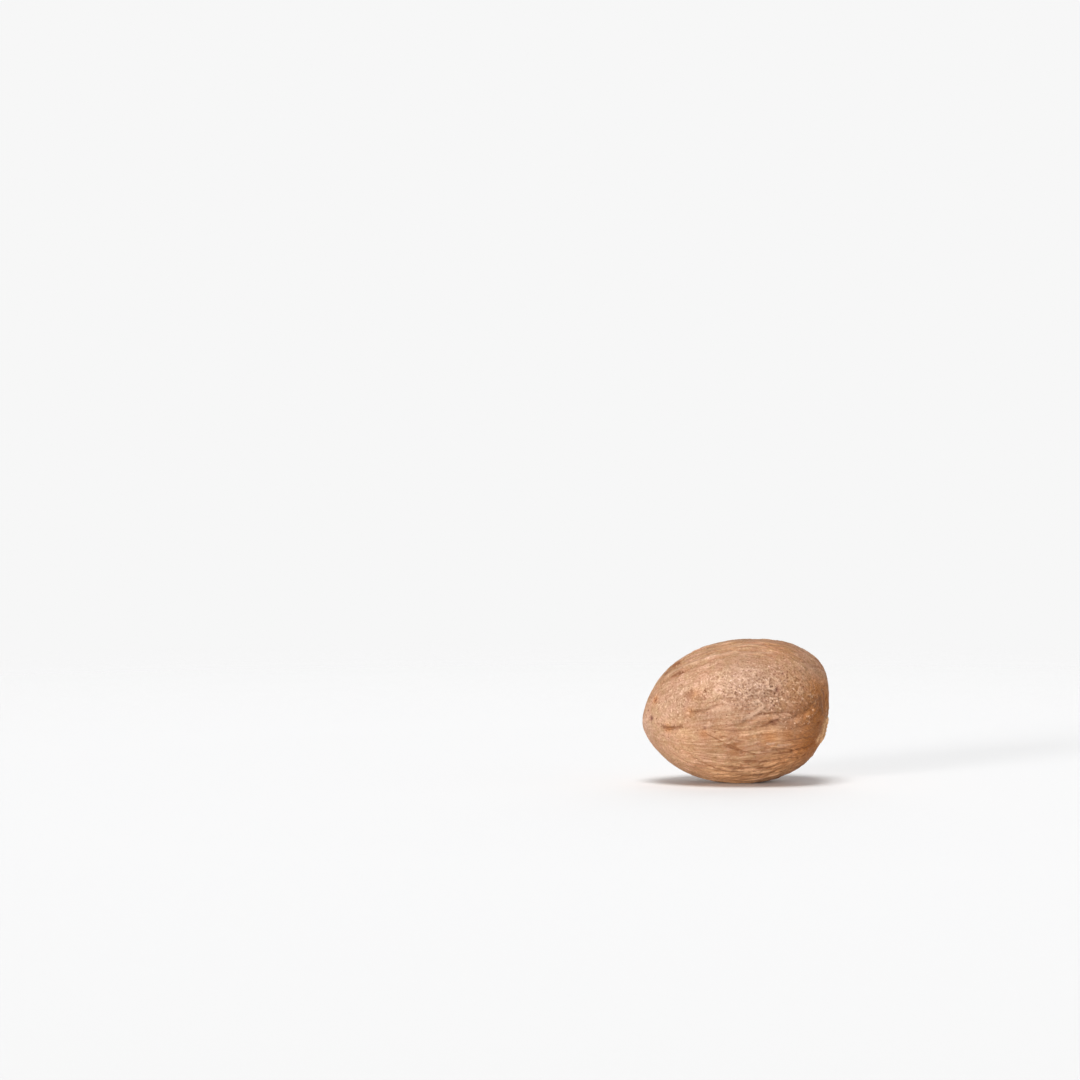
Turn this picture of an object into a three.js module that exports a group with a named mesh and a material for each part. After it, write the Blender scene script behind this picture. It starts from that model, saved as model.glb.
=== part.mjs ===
// A whole nutmeg: the dried kernel, lying on its side on the small flat spot that it rests on.
//
// Millimetres, +Z up. The broad end with the hilum points to +X and a little up, and the narrow
// end with the chalaza to -X. The origin is on the resting surface, under the middle of the
// kernel's box.
//
// A place on the kernel is a station, from -1 at the narrow tip to 1 at the broad tip, and a
// longitude round the long axis in degrees: 0 faces -Y, 90 is the top and -90 the underside.

import * as THREE from 'three';
import { mergeVertices } from 'three/addons/utils/BufferGeometryUtils.js';

// The smooth kernel, before its relief.
const HALF_LENGTH = 15.22;
const HALF_BREADTH = 11.55;
const AXIS_TILT = 10.5; // degrees that the broad end is raised
const BROAD_END_GAIN = 0.055; // share of the breadth gained from the middle to the broad end
const NARROW_END_PINCH = 0.3; // share of the breadth lost at the narrow end, which leaves a nub
const NARROW_END_POWER = 6; // a higher power keeps the pinch closer to the tip
const SHOULDER_GAIN = 0.05; // fullness of the shoulder before the broad end
const SHOULDER_STATION = 0.72;
const SHOULDER_REACH = 0.24;

// The kernel's middle line, which isn't quite straight.
const MIDDLE_SAG = 0.18; // lower before the broad end, higher before the narrow one
const MIDDLE_BEND = 0.6; // both ends raised alike
const BROAD_TIP_LIFT = 1.85; // the broad tip alone
const BROAD_TIP_POWER = 9;

const REST_DEPTH = 0.25; // how deep the flat spot cuts into the round underside
const DEGREE = Math.PI / 180;

// Each side of the base icosahedron is split into this many edges.
const EDGE_SPLITS = 24;

// The main furrows of the front, each from one [station, longitude] to another. The bow, in
// degrees, carries the middle of the line sideways. A furrow with a negative depth is a ridge.
const FRONT_FURROWS = [
  // The long fold below the middle, the creases above it and the low ridges between them.
  { from: [-0.37, -5.5], to: [0.12, -10], bow: -0.5, depth: 0.28, halfWidth: 0.65 },
  { from: [-0.1, -8], to: [0.18, -1.5], bow: 0.5, depth: 0.38, halfWidth: 0.6 },
  { from: [0.06, 1], to: [0.6, -7.2], bow: 1.2, depth: 0.32, halfWidth: 0.6 },
  { from: [0.12, -9], to: [0.58, -11], bow: 1.5, depth: 0.42, halfWidth: 0.6 },
  { from: [-0.22, -1], to: [0.08, 1], bow: -1, depth: -0.28, halfWidth: 0.7 },
  { from: [0.48, -14.5], to: [0.8, -13.5], bow: 0, depth: -0.26, halfWidth: 0.65 },
  // Creases that fan out below the fold.
  { from: [-0.35, -11.5], to: [0.14, -34], bow: -3, depth: 0.38, halfWidth: 0.6 },
  { from: [0.05, -20], to: [0.55, -45], bow: 0, depth: 0.26, halfWidth: 0.6 },
  { from: [0.34, -36], to: [0.76, -50], bow: 0, depth: 0.28, halfWidth: 0.6 },
  { from: [-0.2, -34], to: [0.6, -47.5], bow: -3.5, depth: 0.3, halfWidth: 0.6 },
  { from: [-0.22, -43], to: [0.5, -52], bow: -3, depth: 0.28, halfWidth: 0.6 },
  { from: [-0.34, -33], to: [0.04, -44], bow: -2, depth: 0.3, halfWidth: 0.6 },
  { from: [-0.48, -42], to: [0.1, -50], bow: 0, depth: 0.3, halfWidth: 0.6 },
  { from: [-0.82, -19], to: [-0.48, -42], bow: 1, depth: 0.24, halfWidth: 0.6 },
  // Short creases near the narrow end.
  { from: [-0.86, 6], to: [-0.63, -2], bow: -5, depth: 0.42, halfWidth: 0.6 },
  { from: [-0.87, 20], to: [-0.57, 5], bow: -2, depth: 0.16, halfWidth: 0.6 },
  { from: [-0.55, 11], to: [-0.17, 13], bow: -2, depth: 0.34, halfWidth: 0.6 },
  // Furrows over the upper side, and a long low ridge.
  { from: [-0.67, 58], to: [-0.38, 56], bow: -1, depth: 0.38, halfWidth: 0.6 },
  { from: [-0.62, 63], to: [0.1, 60], bow: -1, depth: -0.24, halfWidth: 0.6 },
  { from: [-0.66, 84], to: [-0.42, 75], bow: 0, depth: 0.44, halfWidth: 0.6 },
  { from: [-0.8, 66], to: [-0.6, 62], bow: 0, depth: 0.26, halfWidth: 0.6 },
  { from: [-0.02, 68], to: [0.45, 63], bow: -4, depth: 0.24, halfWidth: 0.65 },
  { from: [-0.15, 50], to: [0.25, 42], bow: 0, depth: 0.18, halfWidth: 0.65 },
];

// The furrows of the top, back and underside lie in lanes along the kernel, two to a lane,
// and lean a little as they run towards the broad end.
const LANES = { count: 15, first: 86, step: 13.5, lean: 9 };
const LANE_BREAK = 0.1; // share of the half length left between a lane's two furrows

// The limits between which each lane's values are drawn, and a fixed stride for each draw,
// so that the draws stay evenly spread and never fall in step.
const LANE_DRAWS = {
  narrowEnd: { low: -0.92, high: -0.74, stride: 0.618034 },
  meeting: { low: -0.42, high: 0.34, stride: 0.754878 },
  broadEnd: { low: 0.62, high: 0.92, stride: 0.56984 },
  shift: { low: -4, high: 4, stride: 0.324718 },
  bow: { low: -5, high: 5, stride: 0.445042 },
  depth: { low: 0.16, high: 0.38, stride: 0.198062 },
  halfWidth: { low: 0.6, high: 0.85, stride: 0.801938 },
};

// Knobs and, with a negative height, hollows.
const KNOBS = [
  { station: -0.06, longitude: 3, radius: 2.6, height: 0.22 }, // swelling over the long fold
  { station: 0.3, longitude: -7, radius: 1.1, height: -0.2 }, // deepest part of the fold
  { station: 0.36, longitude: 16, radius: 2.8, height: -0.16 }, // sunken, pitted patch
  { station: -0.26, longitude: 84, radius: 1.3, height: 0.16 }, // knob on the top line
  { station: 0.91, longitude: -22, radius: 1.5, height: -0.24 }, // dent over the hilum
  { station: 0.76, longitude: -53, radius: 0.8, height: 0.22 }, // chip on the hilum's rim
  { station: -0.9, longitude: 20, radius: 0.7, height: -0.16 }, // chalaza
  { station: 0.2, longitude: 150, radius: 3.2, height: -0.18 }, // flatter patch on the back
  { station: -0.35, longitude: 215, radius: 2.8, height: 0.2 }, // swelling on the back
];

// The hilum: a round scar with a raised rim at the lower side of the broad end.
const HILUM = {
  station: 0.86,
  longitude: -66,
  radius: 1.8,
  rimHeight: 0.36,
  rimWidth: 0.5,
  hollowDepth: 0.36,
  hollowReach: 0.9,
};

// Slow swells over the whole kernel, so that no cross-section is a true circle. Each is a wave
// across the unit directions.
const SWELLS = [
  { wave: new THREE.Vector3(4, 3, 0), phase: 0, height: 0.07 },
  { wave: new THREE.Vector3(-3, 4, 5), phase: 2, height: 0.035 },
  { wave: new THREE.Vector3(-3, -4, 5), phase: 2, height: 0.035 },
];

const SEED_COAT = { color: 0xb98a68, roughness: 0.62, metalness: 0 };

/** Falls smoothly from 1 at no distance to nearly 0 at twice the reach. */
function bell(distance, reach) {
  return Math.exp(-((distance / reach) ** 2));
}

/** Breadth at a station as a share of the middle's, before both ends are rounded off. */
function thickness(station) {
  const pinch = NARROW_END_PINCH * Math.max(-station, 0) ** NARROW_END_POWER;
  const shoulder = SHOULDER_GAIN * bell(station - SHOULDER_STATION, SHOULDER_REACH);
  return 1 + BROAD_END_GAIN * station - pinch + shoulder;
}

/** Height of the middle line over the straight long axis. */
function middleLine(station) {
  const lift = BROAD_TIP_LIFT * Math.max(station, 0) ** BROAD_TIP_POWER;
  return lift + MIDDLE_BEND * station ** 2 - MIDDLE_SAG * Math.sin(Math.PI * station);
}

/** The smooth kernel's point for a direction, whose x is the point's station. */
function smoothPoint(direction) {
  const breadth = HALF_BREADTH * thickness(direction.x);
  return new THREE.Vector3(
    HALF_LENGTH * direction.x,
    breadth * direction.y,
    breadth * direction.z + middleLine(direction.x),
  );
}

/** The unit direction of a place on the kernel. */
function directionAt(station, longitude) {
  const ring = Math.sqrt(1 - station ** 2);
  const angle = longitude * DEGREE;
  return new THREE.Vector3(station, -ring * Math.cos(angle), ring * Math.sin(angle));
}

/** The index-th draw of the value with that name, between its two limits. */
function draw(name, index) {
  const { low, high, stride } = LANE_DRAWS[name];
  return THREE.MathUtils.lerp(low, high, (index * stride) % 1);
}

/** A lane's furrow between two stations. */
function laneFurrow(lane, index, start, end) {
  const longitude = LANES.first + LANES.step * lane + draw('shift', index);
  return {
    from: [start, longitude + LANES.lean * start],
    to: [end, longitude + LANES.lean * end],
    bow: draw('bow', index),
    depth: draw('depth', index),
    halfWidth: draw('halfWidth', index),
  };
}

/** The two furrows of each lane. */
function laneFurrows() {
  const furrows = [];
  for (let lane = 0; lane < LANES.count; lane += 1) {
    const meeting = draw('meeting', lane + 1);
    const narrowEnd = draw('narrowEnd', lane + 1);
    const broadEnd = draw('broadEnd', lane + 1);
    furrows.push(laneFurrow(lane, 2 * lane + 1, narrowEnd, meeting - LANE_BREAK / 2));
    furrows.push(laneFurrow(lane, 2 * lane + 2, meeting + LANE_BREAK / 2, broadEnd));
  }
  return furrows;
}

/** Height that a furrow gives to a place: negative in it and slightly raised at its sides. */
function furrowHeight({ from, to, bow, depth, halfWidth }, station, longitude) {
  const along = (station - from[0]) / (to[0] - from[0]);
  if (along <= 0 || along >= 1) return 0;
  const line = THREE.MathUtils.lerp(from[1], to[1], along) + 4 * bow * along * (1 - along);
  const turn = THREE.MathUtils.euclideanModulo(longitude - line + 180, 360) - 180;
  const ringRadius = HALF_BREADTH * thickness(station) * Math.sqrt(1 - station ** 2);
  const across = (turn * DEGREE * ringRadius) / halfWidth;
  return -depth * Math.sqrt(Math.sin(Math.PI * along)) * (1 - across ** 2) * bell(across, 1);
}

/** Height of the hilum's rim and hollow at a distance from its middle. */
function hilumHeight(distance) {
  const rim = HILUM.rimHeight * bell(distance - HILUM.radius, HILUM.rimWidth);
  return rim - HILUM.hollowDepth * bell(distance, HILUM.hollowReach);
}

/** Height of the slow swells at a direction. */
function swellHeight(direction) {
  let height = 0;
  for (const swell of SWELLS) {
    height += swell.height * Math.sin(swell.wave.dot(direction) + swell.phase);
  }
  return height;
}

const furrows = [...FRONT_FURROWS, ...laneFurrows()];
const knobs = KNOBS.map((knob) => ({
  ...knob,
  middle: smoothPoint(directionAt(knob.station, knob.longitude)),
}));
const hilumMiddle = smoothPoint(directionAt(HILUM.station, HILUM.longitude));

/** Height of all the relief over the smooth kernel's point for a direction. */
function relief(direction, point) {
  const station = direction.x;
  const longitude = Math.atan2(direction.z, -direction.y) / DEGREE;
  let height = swellHeight(direction) + hilumHeight(point.distanceTo(hilumMiddle));
  for (const furrow of furrows) {
    height += furrowHeight(furrow, station, longitude);
  }
  for (const knob of knobs) {
    height += knob.height * bell(point.distanceTo(knob.middle), knob.radius);
  }
  return height;
}

/** The kernel's point for a direction, with its relief raised along the surface's normal. */
function kernelPoint(direction) {
  const point = smoothPoint(direction);
  const outward = new THREE.Vector3(
    direction.x / HALF_LENGTH,
    direction.y / HALF_BREADTH,
    direction.z / HALF_BREADTH,
  ).normalize();
  return point.addScaledVector(outward, relief(direction, point));
}

/** The kernel as a closed mesh about its own middle, tilted as it lies. */
function kernelGeometry() {
  const geometry = new THREE.IcosahedronGeometry(1, EDGE_SPLITS - 1);
  geometry.deleteAttribute('normal');
  geometry.deleteAttribute('uv');
  const merged = mergeVertices(geometry);
  const positions = merged.getAttribute('position');
  const direction = new THREE.Vector3();
  for (let index = 0; index < positions.count; index += 1) {
    direction.fromBufferAttribute(positions, index).normalize();
    const point = kernelPoint(direction);
    positions.setXYZ(index, point.x, point.y, point.z);
  }
  return merged.rotateY(-AXIS_TILT * DEGREE);
}

/** Stands the kernel on its flat spot, with the middle of its box over the origin. */
function restOnFlatSpot(geometry) {
  geometry.computeBoundingBox();
  const { min, max } = geometry.boundingBox;
  geometry.translate(-(min.x + max.x) / 2, -(min.y + max.y) / 2, -min.z - REST_DEPTH);
  const positions = geometry.getAttribute('position');
  for (let index = 0; index < positions.count; index += 1) {
    positions.setZ(index, Math.max(positions.getZ(index), 0));
  }
  geometry.computeVertexNormals();
  return geometry;
}

const seedCoat = new THREE.MeshStandardMaterial(SEED_COAT);
const nutmeg = new THREE.Mesh(restOnFlatSpot(kernelGeometry()), seedCoat);
nutmeg.name = 'nutmeg';

const group = new THREE.Group();
group.add(nutmeg);

export default group;
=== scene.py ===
"""A whole nutmeg on a pale floor: the kernel's relief and finish, the soft light and the camera.

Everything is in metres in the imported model's frame, unless its description names another unit. A
place on the kernel is a station, from -1 at the narrow tip to 1 at the broad tip, and a longitude
round the long axis in degrees: 0 faces -Y, 90 is the top and -90 the underside.
"""

import logging
import math
from dataclasses import dataclass, field, fields
from enum import Enum
from typing import Any

import bpy
import numpy as np
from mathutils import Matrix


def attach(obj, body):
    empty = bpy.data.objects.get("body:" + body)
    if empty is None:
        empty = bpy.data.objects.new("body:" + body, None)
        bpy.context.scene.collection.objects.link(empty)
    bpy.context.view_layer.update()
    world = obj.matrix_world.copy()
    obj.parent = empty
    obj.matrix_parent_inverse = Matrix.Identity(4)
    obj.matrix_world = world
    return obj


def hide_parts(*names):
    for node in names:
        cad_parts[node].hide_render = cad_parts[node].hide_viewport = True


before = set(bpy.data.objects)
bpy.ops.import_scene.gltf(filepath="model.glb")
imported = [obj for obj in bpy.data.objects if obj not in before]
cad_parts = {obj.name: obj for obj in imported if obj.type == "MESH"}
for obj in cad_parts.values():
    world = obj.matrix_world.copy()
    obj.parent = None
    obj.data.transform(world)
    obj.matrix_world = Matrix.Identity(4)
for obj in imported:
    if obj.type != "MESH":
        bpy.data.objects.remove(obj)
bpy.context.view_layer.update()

LOG = logging.getLogger("nutmeg")
MM = 0.001
KERNEL_NODE = "nutmeg"
ROOT_BODY = "root"

Place = tuple[float, float]
Colour = tuple[float, float, float, float]
Socket = bpy.types.NodeSocket


class Slot(Enum):
    """The record's material slots."""

    KERNEL = "kernel"


class Mark(Enum):
    """Attributes of the kernel's mesh, which tell the finish what lies where."""

    BEARING = "bearing"
    FURROW = "furrow"
    ROUGH = "rough"
    SCURF = "scurf"
    # Rust-brown tone, and painted warm shade on the broad end and the lower right.
    RUST = "rust"
    BLOOM = "bloom"
    # Pale tan, and painted light on the underside and the top.
    PALE = "pale"
    # Darker tone, partly painted shade on the broad end.
    DIM = "dim"
    SCAR = "scar"
    SPOT = "spot"
    CREASE = "crease"
    # The relief's height, kept for the finish's painted shade in the hollows and painted light on the
    # raised parts.
    SWELL = "swell"
    PIT = "pit"
    LINED = "lined"


def bell(distance: np.ndarray, reach: float) -> np.ndarray:
    """Falls smoothly from 1 at no distance to nearly 0 at twice the reach."""
    return np.exp(-((distance / reach) ** 2))


def turn_from(longitudes: np.ndarray, start: np.ndarray | float) -> np.ndarray:
    """Degrees from a starting longitude to others, by the shorter way round."""
    return (longitudes - start + 180) % 360 - 180


def direction_of(station: float, longitude: float) -> np.ndarray:
    """The unit direction of one place on the kernel.

    Args:
        station: How far along the kernel it is.
        longitude: How far round it is.

    Returns:
        The direction, whose x is the station.
    """
    ring = math.sqrt(1 - station**2)
    angle = math.radians(longitude)
    return np.array([station, -ring * math.cos(angle), ring * math.sin(angle)])


@dataclass(frozen=True)
class Places:
    """Many places on the smooth kernel at once, one in each row."""

    directions: np.ndarray
    points: np.ndarray
    stations: np.ndarray
    longitudes: np.ndarray
    ring_radii: np.ndarray


@dataclass(frozen=True)
class Swell:
    """A slow wave in the kernel's surface, so that no cross-section is a true circle."""

    wave: tuple[float, float, float]
    phase: float
    height: float


@dataclass(frozen=True)
class KernelForm:
    """The smooth kernel, before its relief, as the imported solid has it."""

    half_length: float = 15.22 * MM
    half_breadth: float = 11.55 * MM
    axis_tilt: float = math.radians(10.5)
    broad_end_gain: float = 0.055
    narrow_end_pinch: float = 0.3
    narrow_end_power: float = 6
    shoulder_gain: float = 0.05
    shoulder_station: float = 0.72
    shoulder_reach: float = 0.24
    middle_sag: float = 0.18 * MM
    middle_bend: float = 0.6 * MM
    broad_tip_lift: float = 1.85 * MM
    broad_tip_power: float = 9
    swells: tuple[Swell, ...] = (
        Swell((4, 3, 0), phase=0, height=0.07 * MM),
        Swell((-3, 4, 5), phase=2, height=0.035 * MM),
        Swell((-3, -4, 5), phase=2, height=0.035 * MM),
    )
    rest_depth: float = 0.25 * MM

    def thickness(self, stations: np.ndarray) -> np.ndarray:
        """How thick the kernel is along its length, before its ends are rounded.

        Args:
            stations: The stations to look at.

        Returns:
            The breadth at each station as a share of the middle's.
        """
        pinch = self.narrow_end_pinch * np.maximum(-stations, 0) ** self.narrow_end_power
        shoulder = self.shoulder_gain * bell(stations - self.shoulder_station, self.shoulder_reach)
        return 1 + self.broad_end_gain * stations - pinch + shoulder

    def middle_line(self, stations: np.ndarray) -> np.ndarray:
        """How the kernel's middle line is bent.

        Args:
            stations: The stations to look at.

        Returns:
            The line's height over the straight long axis at each station.
        """
        lift = self.broad_tip_lift * np.maximum(stations, 0) ** self.broad_tip_power
        bend = self.middle_bend * stations**2
        return lift + bend - self.middle_sag * np.sin(np.pi * stations)

    def smooth_points(self, directions: np.ndarray) -> np.ndarray:
        """The smooth kernel's points.

        Args:
            directions: Unit directions, whose x is the station.

        Returns:
            The point at each direction, about the kernel's own middle.
        """
        breadths = self.half_breadth * self.thickness(directions[:, 0])
        lift = self.middle_line(directions[:, 0])
        return np.column_stack(
            [
                self.half_length * directions[:, 0],
                breadths * directions[:, 1],
                breadths * directions[:, 2] + lift,
            ]
        )

    def outward(self, directions: np.ndarray) -> np.ndarray:
        """The unit normals that the relief is raised along."""
        normals = directions / np.array([self.half_length, self.half_breadth, self.half_breadth])
        return normals / np.linalg.norm(normals, axis=1, keepdims=True)

    def distances(self, places: Places, place: Place) -> np.ndarray:
        """How far each of many places is from one place."""
        return np.linalg.norm(self.offsets(places, place), axis=1)

    def offsets(self, places: Places, place: Place) -> np.ndarray:
        """The way from one place to each of many places."""
        return places.points - self.smooth_points(direction_of(*place)[None])[0]

    def places(self, directions: np.ndarray) -> Places:
        """Everything that the relief needs to know about each direction.

        Args:
            directions: Unit directions, whose x is the station.

        Returns:
            The places on the smooth kernel.
        """
        stations = directions[:, 0]
        rings = np.sqrt(np.maximum(1 - stations**2, 0))
        return Places(
            directions=directions,
            points=self.smooth_points(directions),
            stations=stations,
            longitudes=np.degrees(np.arctan2(directions[:, 2], -directions[:, 1])),
            ring_radii=self.half_breadth * self.thickness(stations) * rings,
        )

    def swell_height(self, directions: np.ndarray) -> np.ndarray:
        """Height of the slow swells at each direction."""
        waves = [s.height * np.sin(directions @ np.array(s.wave) + s.phase) for s in self.swells]
        return np.sum(waves, axis=0)

    def rest(self, points: np.ndarray) -> np.ndarray:
        """Tilts the kernel as it lies and stands it on its flat spot over the origin.

        Args:
            points: The kernel's points about its own middle.

        Returns:
            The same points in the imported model's frame.
        """
        cosine, sine = math.cos(self.axis_tilt), math.sin(self.axis_tilt)
        x, y, z = points.T
        lying = np.column_stack([x * cosine - z * sine, y, x * sine + z * cosine])
        low, high = lying.min(axis=0), lying.max(axis=0)
        lying -= [(low[0] + high[0]) / 2, (low[1] + high[1]) / 2, low[2] + self.rest_depth]
        lying[:, 2] = np.maximum(lying[:, 2], 0)
        return lying


@dataclass(frozen=True)
class Furrow:
    """A furrow along the kernel, or a ridge where its depth is negative.

    The bow, in degrees, carries the middle of the line sideways. The wobble, in degrees, makes
    it waver as a shrunken seed coat does; each of its waves is a rate along the line, a multiple
    of the furrow's own phase and a share. Depth and half width are in millimetres.
    """

    start: Place
    end: Place
    bow: float
    depth: float
    half_width: float
    wobble: float = 0.7

    WAVES = ((19, 1, 1.0), (43, 2, 0.5))
    PHASE_GAIN = 7
    FADE_POWER = 0.7

    def line(self, along: np.ndarray) -> np.ndarray:
        """The course of the furrow.

        Args:
            along: Shares of its length.

        Returns:
            The longitude of its line at each share.
        """
        phase = self.PHASE_GAIN * self.start[0] + self.start[1]
        waver = sum(share * np.sin(rate * along + turn * phase) for rate, turn, share in self.WAVES)
        straight = self.start[1] + (self.end[1] - self.start[1]) * along
        return straight + 4 * self.bow * along * (1 - along) + self.wobble * waver

    def shares(self, places: Places) -> tuple[np.ndarray, np.ndarray]:
        """How far each place is across the furrow, and how full the furrow is there.

        Args:
            places: The places to look at.

        Returns:
            The distance across in half widths, and the share of the full depth.
        """
        along = (places.stations - self.start[0]) / (self.end[0] - self.start[0])
        inside = (along > 0) & (along < 1)
        along = np.clip(along, 0, 1)
        turn = turn_from(places.longitudes, self.line(along))
        across = np.radians(turn) * places.ring_radii / (self.half_width * MM)
        return across, np.where(inside, np.sin(np.pi * along) ** self.FADE_POWER, 0)


@dataclass(frozen=True)
class Knob:
    """A round knob or, with a negative height, a hollow. Sizes are in millimetres."""

    station: float
    longitude: float
    radius: float
    height: float


@dataclass(frozen=True)
class Patch:
    """A round patch of one of the kernel's marks. The radius is in millimetres."""

    station: float
    longitude: float
    radius: float
    strength: float = 1.0


@dataclass(frozen=True)
class Lanes:
    """Furrows by rule, in lanes along the kernel with two furrows to a lane.

    Each value is drawn between two limits with a fixed stride, so that the draws stay evenly
    spread and never fall in step. Longitudes are in degrees, depths and widths in millimetres.
    """

    count: int
    first: float
    step: float
    lean: float
    meeting_gap: float
    narrow_end: tuple[float, float]
    meeting: tuple[float, float]
    broad_end: tuple[float, float]
    shift: tuple[float, float]
    bow: tuple[float, float]
    depth: tuple[float, float]
    half_width: tuple[float, float]

    MEETING_STRIDE = 0.754878
    NARROW_END_STRIDE = 0.618034
    BROAD_END_STRIDE = 0.56984
    SHIFT_STRIDE = 0.324718
    BOW_STRIDE = 0.445042
    DEPTH_STRIDE = 0.198062
    WIDTH_STRIDE = 0.801938

    @staticmethod
    def draw(limits: tuple[float, float], stride: float, index: int) -> float:
        """The index-th draw between two limits."""
        low, high = limits
        return low + (high - low) * ((index * stride) % 1)

    def furrow(self, lane: int, index: int, start: float, end: float) -> Furrow:
        """One furrow of a lane.

        Args:
            lane: The lane's number.
            index: The furrow's own number, for its draws.
            start: The station where it starts.
            end: The station where it ends.

        Returns:
            The furrow.
        """
        longitude = self.first + self.step * lane + self.draw(self.shift, self.SHIFT_STRIDE, index)
        return Furrow(
            start=(start, longitude + self.lean * start),
            end=(end, longitude + self.lean * end),
            bow=self.draw(self.bow, self.BOW_STRIDE, index),
            depth=self.draw(self.depth, self.DEPTH_STRIDE, index),
            half_width=self.draw(self.half_width, self.WIDTH_STRIDE, index),
        )

    def furrows(self) -> list[Furrow]:
        """The two furrows of each lane.

        Returns:
            The furrows, lane by lane.
        """
        made = []
        for lane in range(self.count):
            meeting = self.draw(self.meeting, self.MEETING_STRIDE, lane + 1)
            narrow_end = self.draw(self.narrow_end, self.NARROW_END_STRIDE, lane + 1)
            broad_end = self.draw(self.broad_end, self.BROAD_END_STRIDE, lane + 1)
            near, far = meeting - self.meeting_gap / 2, meeting + self.meeting_gap / 2
            made.append(self.furrow(lane, 2 * lane + 1, narrow_end, near))
            made.append(self.furrow(lane, 2 * lane + 2, far, broad_end))
        return made


# The long fold below the middle, the creases that fan out below it, the short creases near the
# narrow end and the long furrows over the upper side.
FRONT_FURROWS = (
    Furrow((-0.37, -5.5), (0.12, -10), -0.5, 0.22, 0.6),
    Furrow((-0.1, -8), (0.18, -1.5), 0.5, 0.26, 0.45),
    Furrow((0.06, 1), (0.62, -6), 1.2, 0.18, 0.36),
    Furrow((0.08, -4), (0.56, -9), 1, -0.3, 0.5),
    Furrow((0.12, -9), (0.58, -11), 1.5, 0.26, 0.45),
    Furrow((-0.22, -1), (0.08, 1), -1, -0.25, 0.7),
    Furrow((0.48, -14.5), (0.8, -13.5), 0, -0.25, 0.65),
    Furrow((0.52, -8), (0.82, -9), 1, 0.17, 0.5),
    Furrow((-0.35, -11.5), (0.14, -34), -3, 0.24, 0.38),
    Furrow((-0.3, -10.5), (0, -20), -1, 0.2, 0.35),
    Furrow((-0.27, -13), (-0.02, -23), -1, 0.2, 0.35),
    Furrow((0.14, -22), (0.46, -36), 0, -0.2, 0.35),
    Furrow((0.05, -20), (0.55, -45), 0, 0.22, 0.35),
    Furrow((-0.2, -34), (0.6, -47.5), -3.5, 0.27, 0.36),
    Furrow((-0.22, -43), (0.5, -52), -3, 0.25, 0.36),
    Furrow((0.16, -39), (0.46, -46), 0, -0.2, 0.34),
    Furrow((0.34, -36), (0.76, -50), 0, 0.25, 0.4),
    Furrow((-0.34, -33), (0.04, -44), -2, 0.27, 0.4),
    Furrow((-0.48, -42), (0.1, -50), 0, 0.27, 0.4),
    Furrow((-0.82, -19), (-0.48, -42), 1, 0.2, 0.5),
    Furrow((-0.84, 2.5), (-0.6, -0.5), -4.5, 0.3, 0.36),
    Furrow((-0.87, 20), (-0.57, 5), -2, 0.12, 0.5),
    Furrow((-0.55, 11), (-0.17, 13), -2, 0.26, 0.36),
    Furrow((-0.67, 58), (-0.38, 56), -1, 0.35, 0.5),
    Furrow((-0.62, 63), (0.1, 60), -1, -0.22, 0.5),
    Furrow((-0.62, 73), (-0.42, 69), 0, -0.2, 0.4),
    Furrow((-0.66, 84), (-0.42, 75), 0, 0.44, 0.6),
    Furrow((-0.8, 66), (-0.6, 62), 0, 0.25, 0.5),
    Furrow((-0.02, 68), (0.45, 63), -4, 0.22, 0.6),
    Furrow((-0.15, 50), (0.25, 42), 0, 0.14, 0.6),
)

# Thinner creases and low ridges between them.
FRONT_CREASES = (
    Furrow((-0.1, -13), (0.04, -15), 0, 0.17, 0.32),
    Furrow((0.13, 11), (0.2, 8), 0, -0.25, 0.32),
    Furrow((0.2, 7), (0.29, 3), 0, -0.27, 0.32),
    Furrow((0.14, 3), (0.23, 2), 0, -0.17, 0.32),
    Furrow((0.02, 7), (0.2, 10), 1, -0.14, 0.4),
    Furrow((-0.25, 16), (-0.02, 15), 1, 0.14, 0.32),
    Furrow((0.25, -31), (0.66, -42), 0, 0.14, 0.32),
    Furrow((0.44, -24), (0.7, -30), 0, 0.12, 0.32),
    Furrow((-0.62, -36), (-0.33, -48), 0, 0.17, 0.32),
    Furrow((-0.42, -30), (-0.12, -36), 0, 0.14, 0.32),
    Furrow((-0.1, -50), (0.32, -58), 0, 0.2, 0.32),
    Furrow((-0.3, -55), (0.12, -62), 0, 0.2, 0.35),
    Furrow((0.0, -62), (0.42, -69), 1, 0.2, 0.35),
    Furrow((0.3, -46), (0.74, -62), 1, 0.17, 0.32),
    Furrow((-0.4, 67), (0.0, 68), 0, 0.14, 0.35),
    Furrow((-0.32, 55), (0.02, 56), 0, 0.14, 0.35),
    Furrow((0.08, 56), (0.52, 48), 1, 0.12, 0.4),
    Furrow((0.1, 74), (0.6, 68), 1, 0.14, 0.4),
    Furrow((-0.7, 36), (-0.3, 38), 2, 0.08, 0.4),
)

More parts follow.
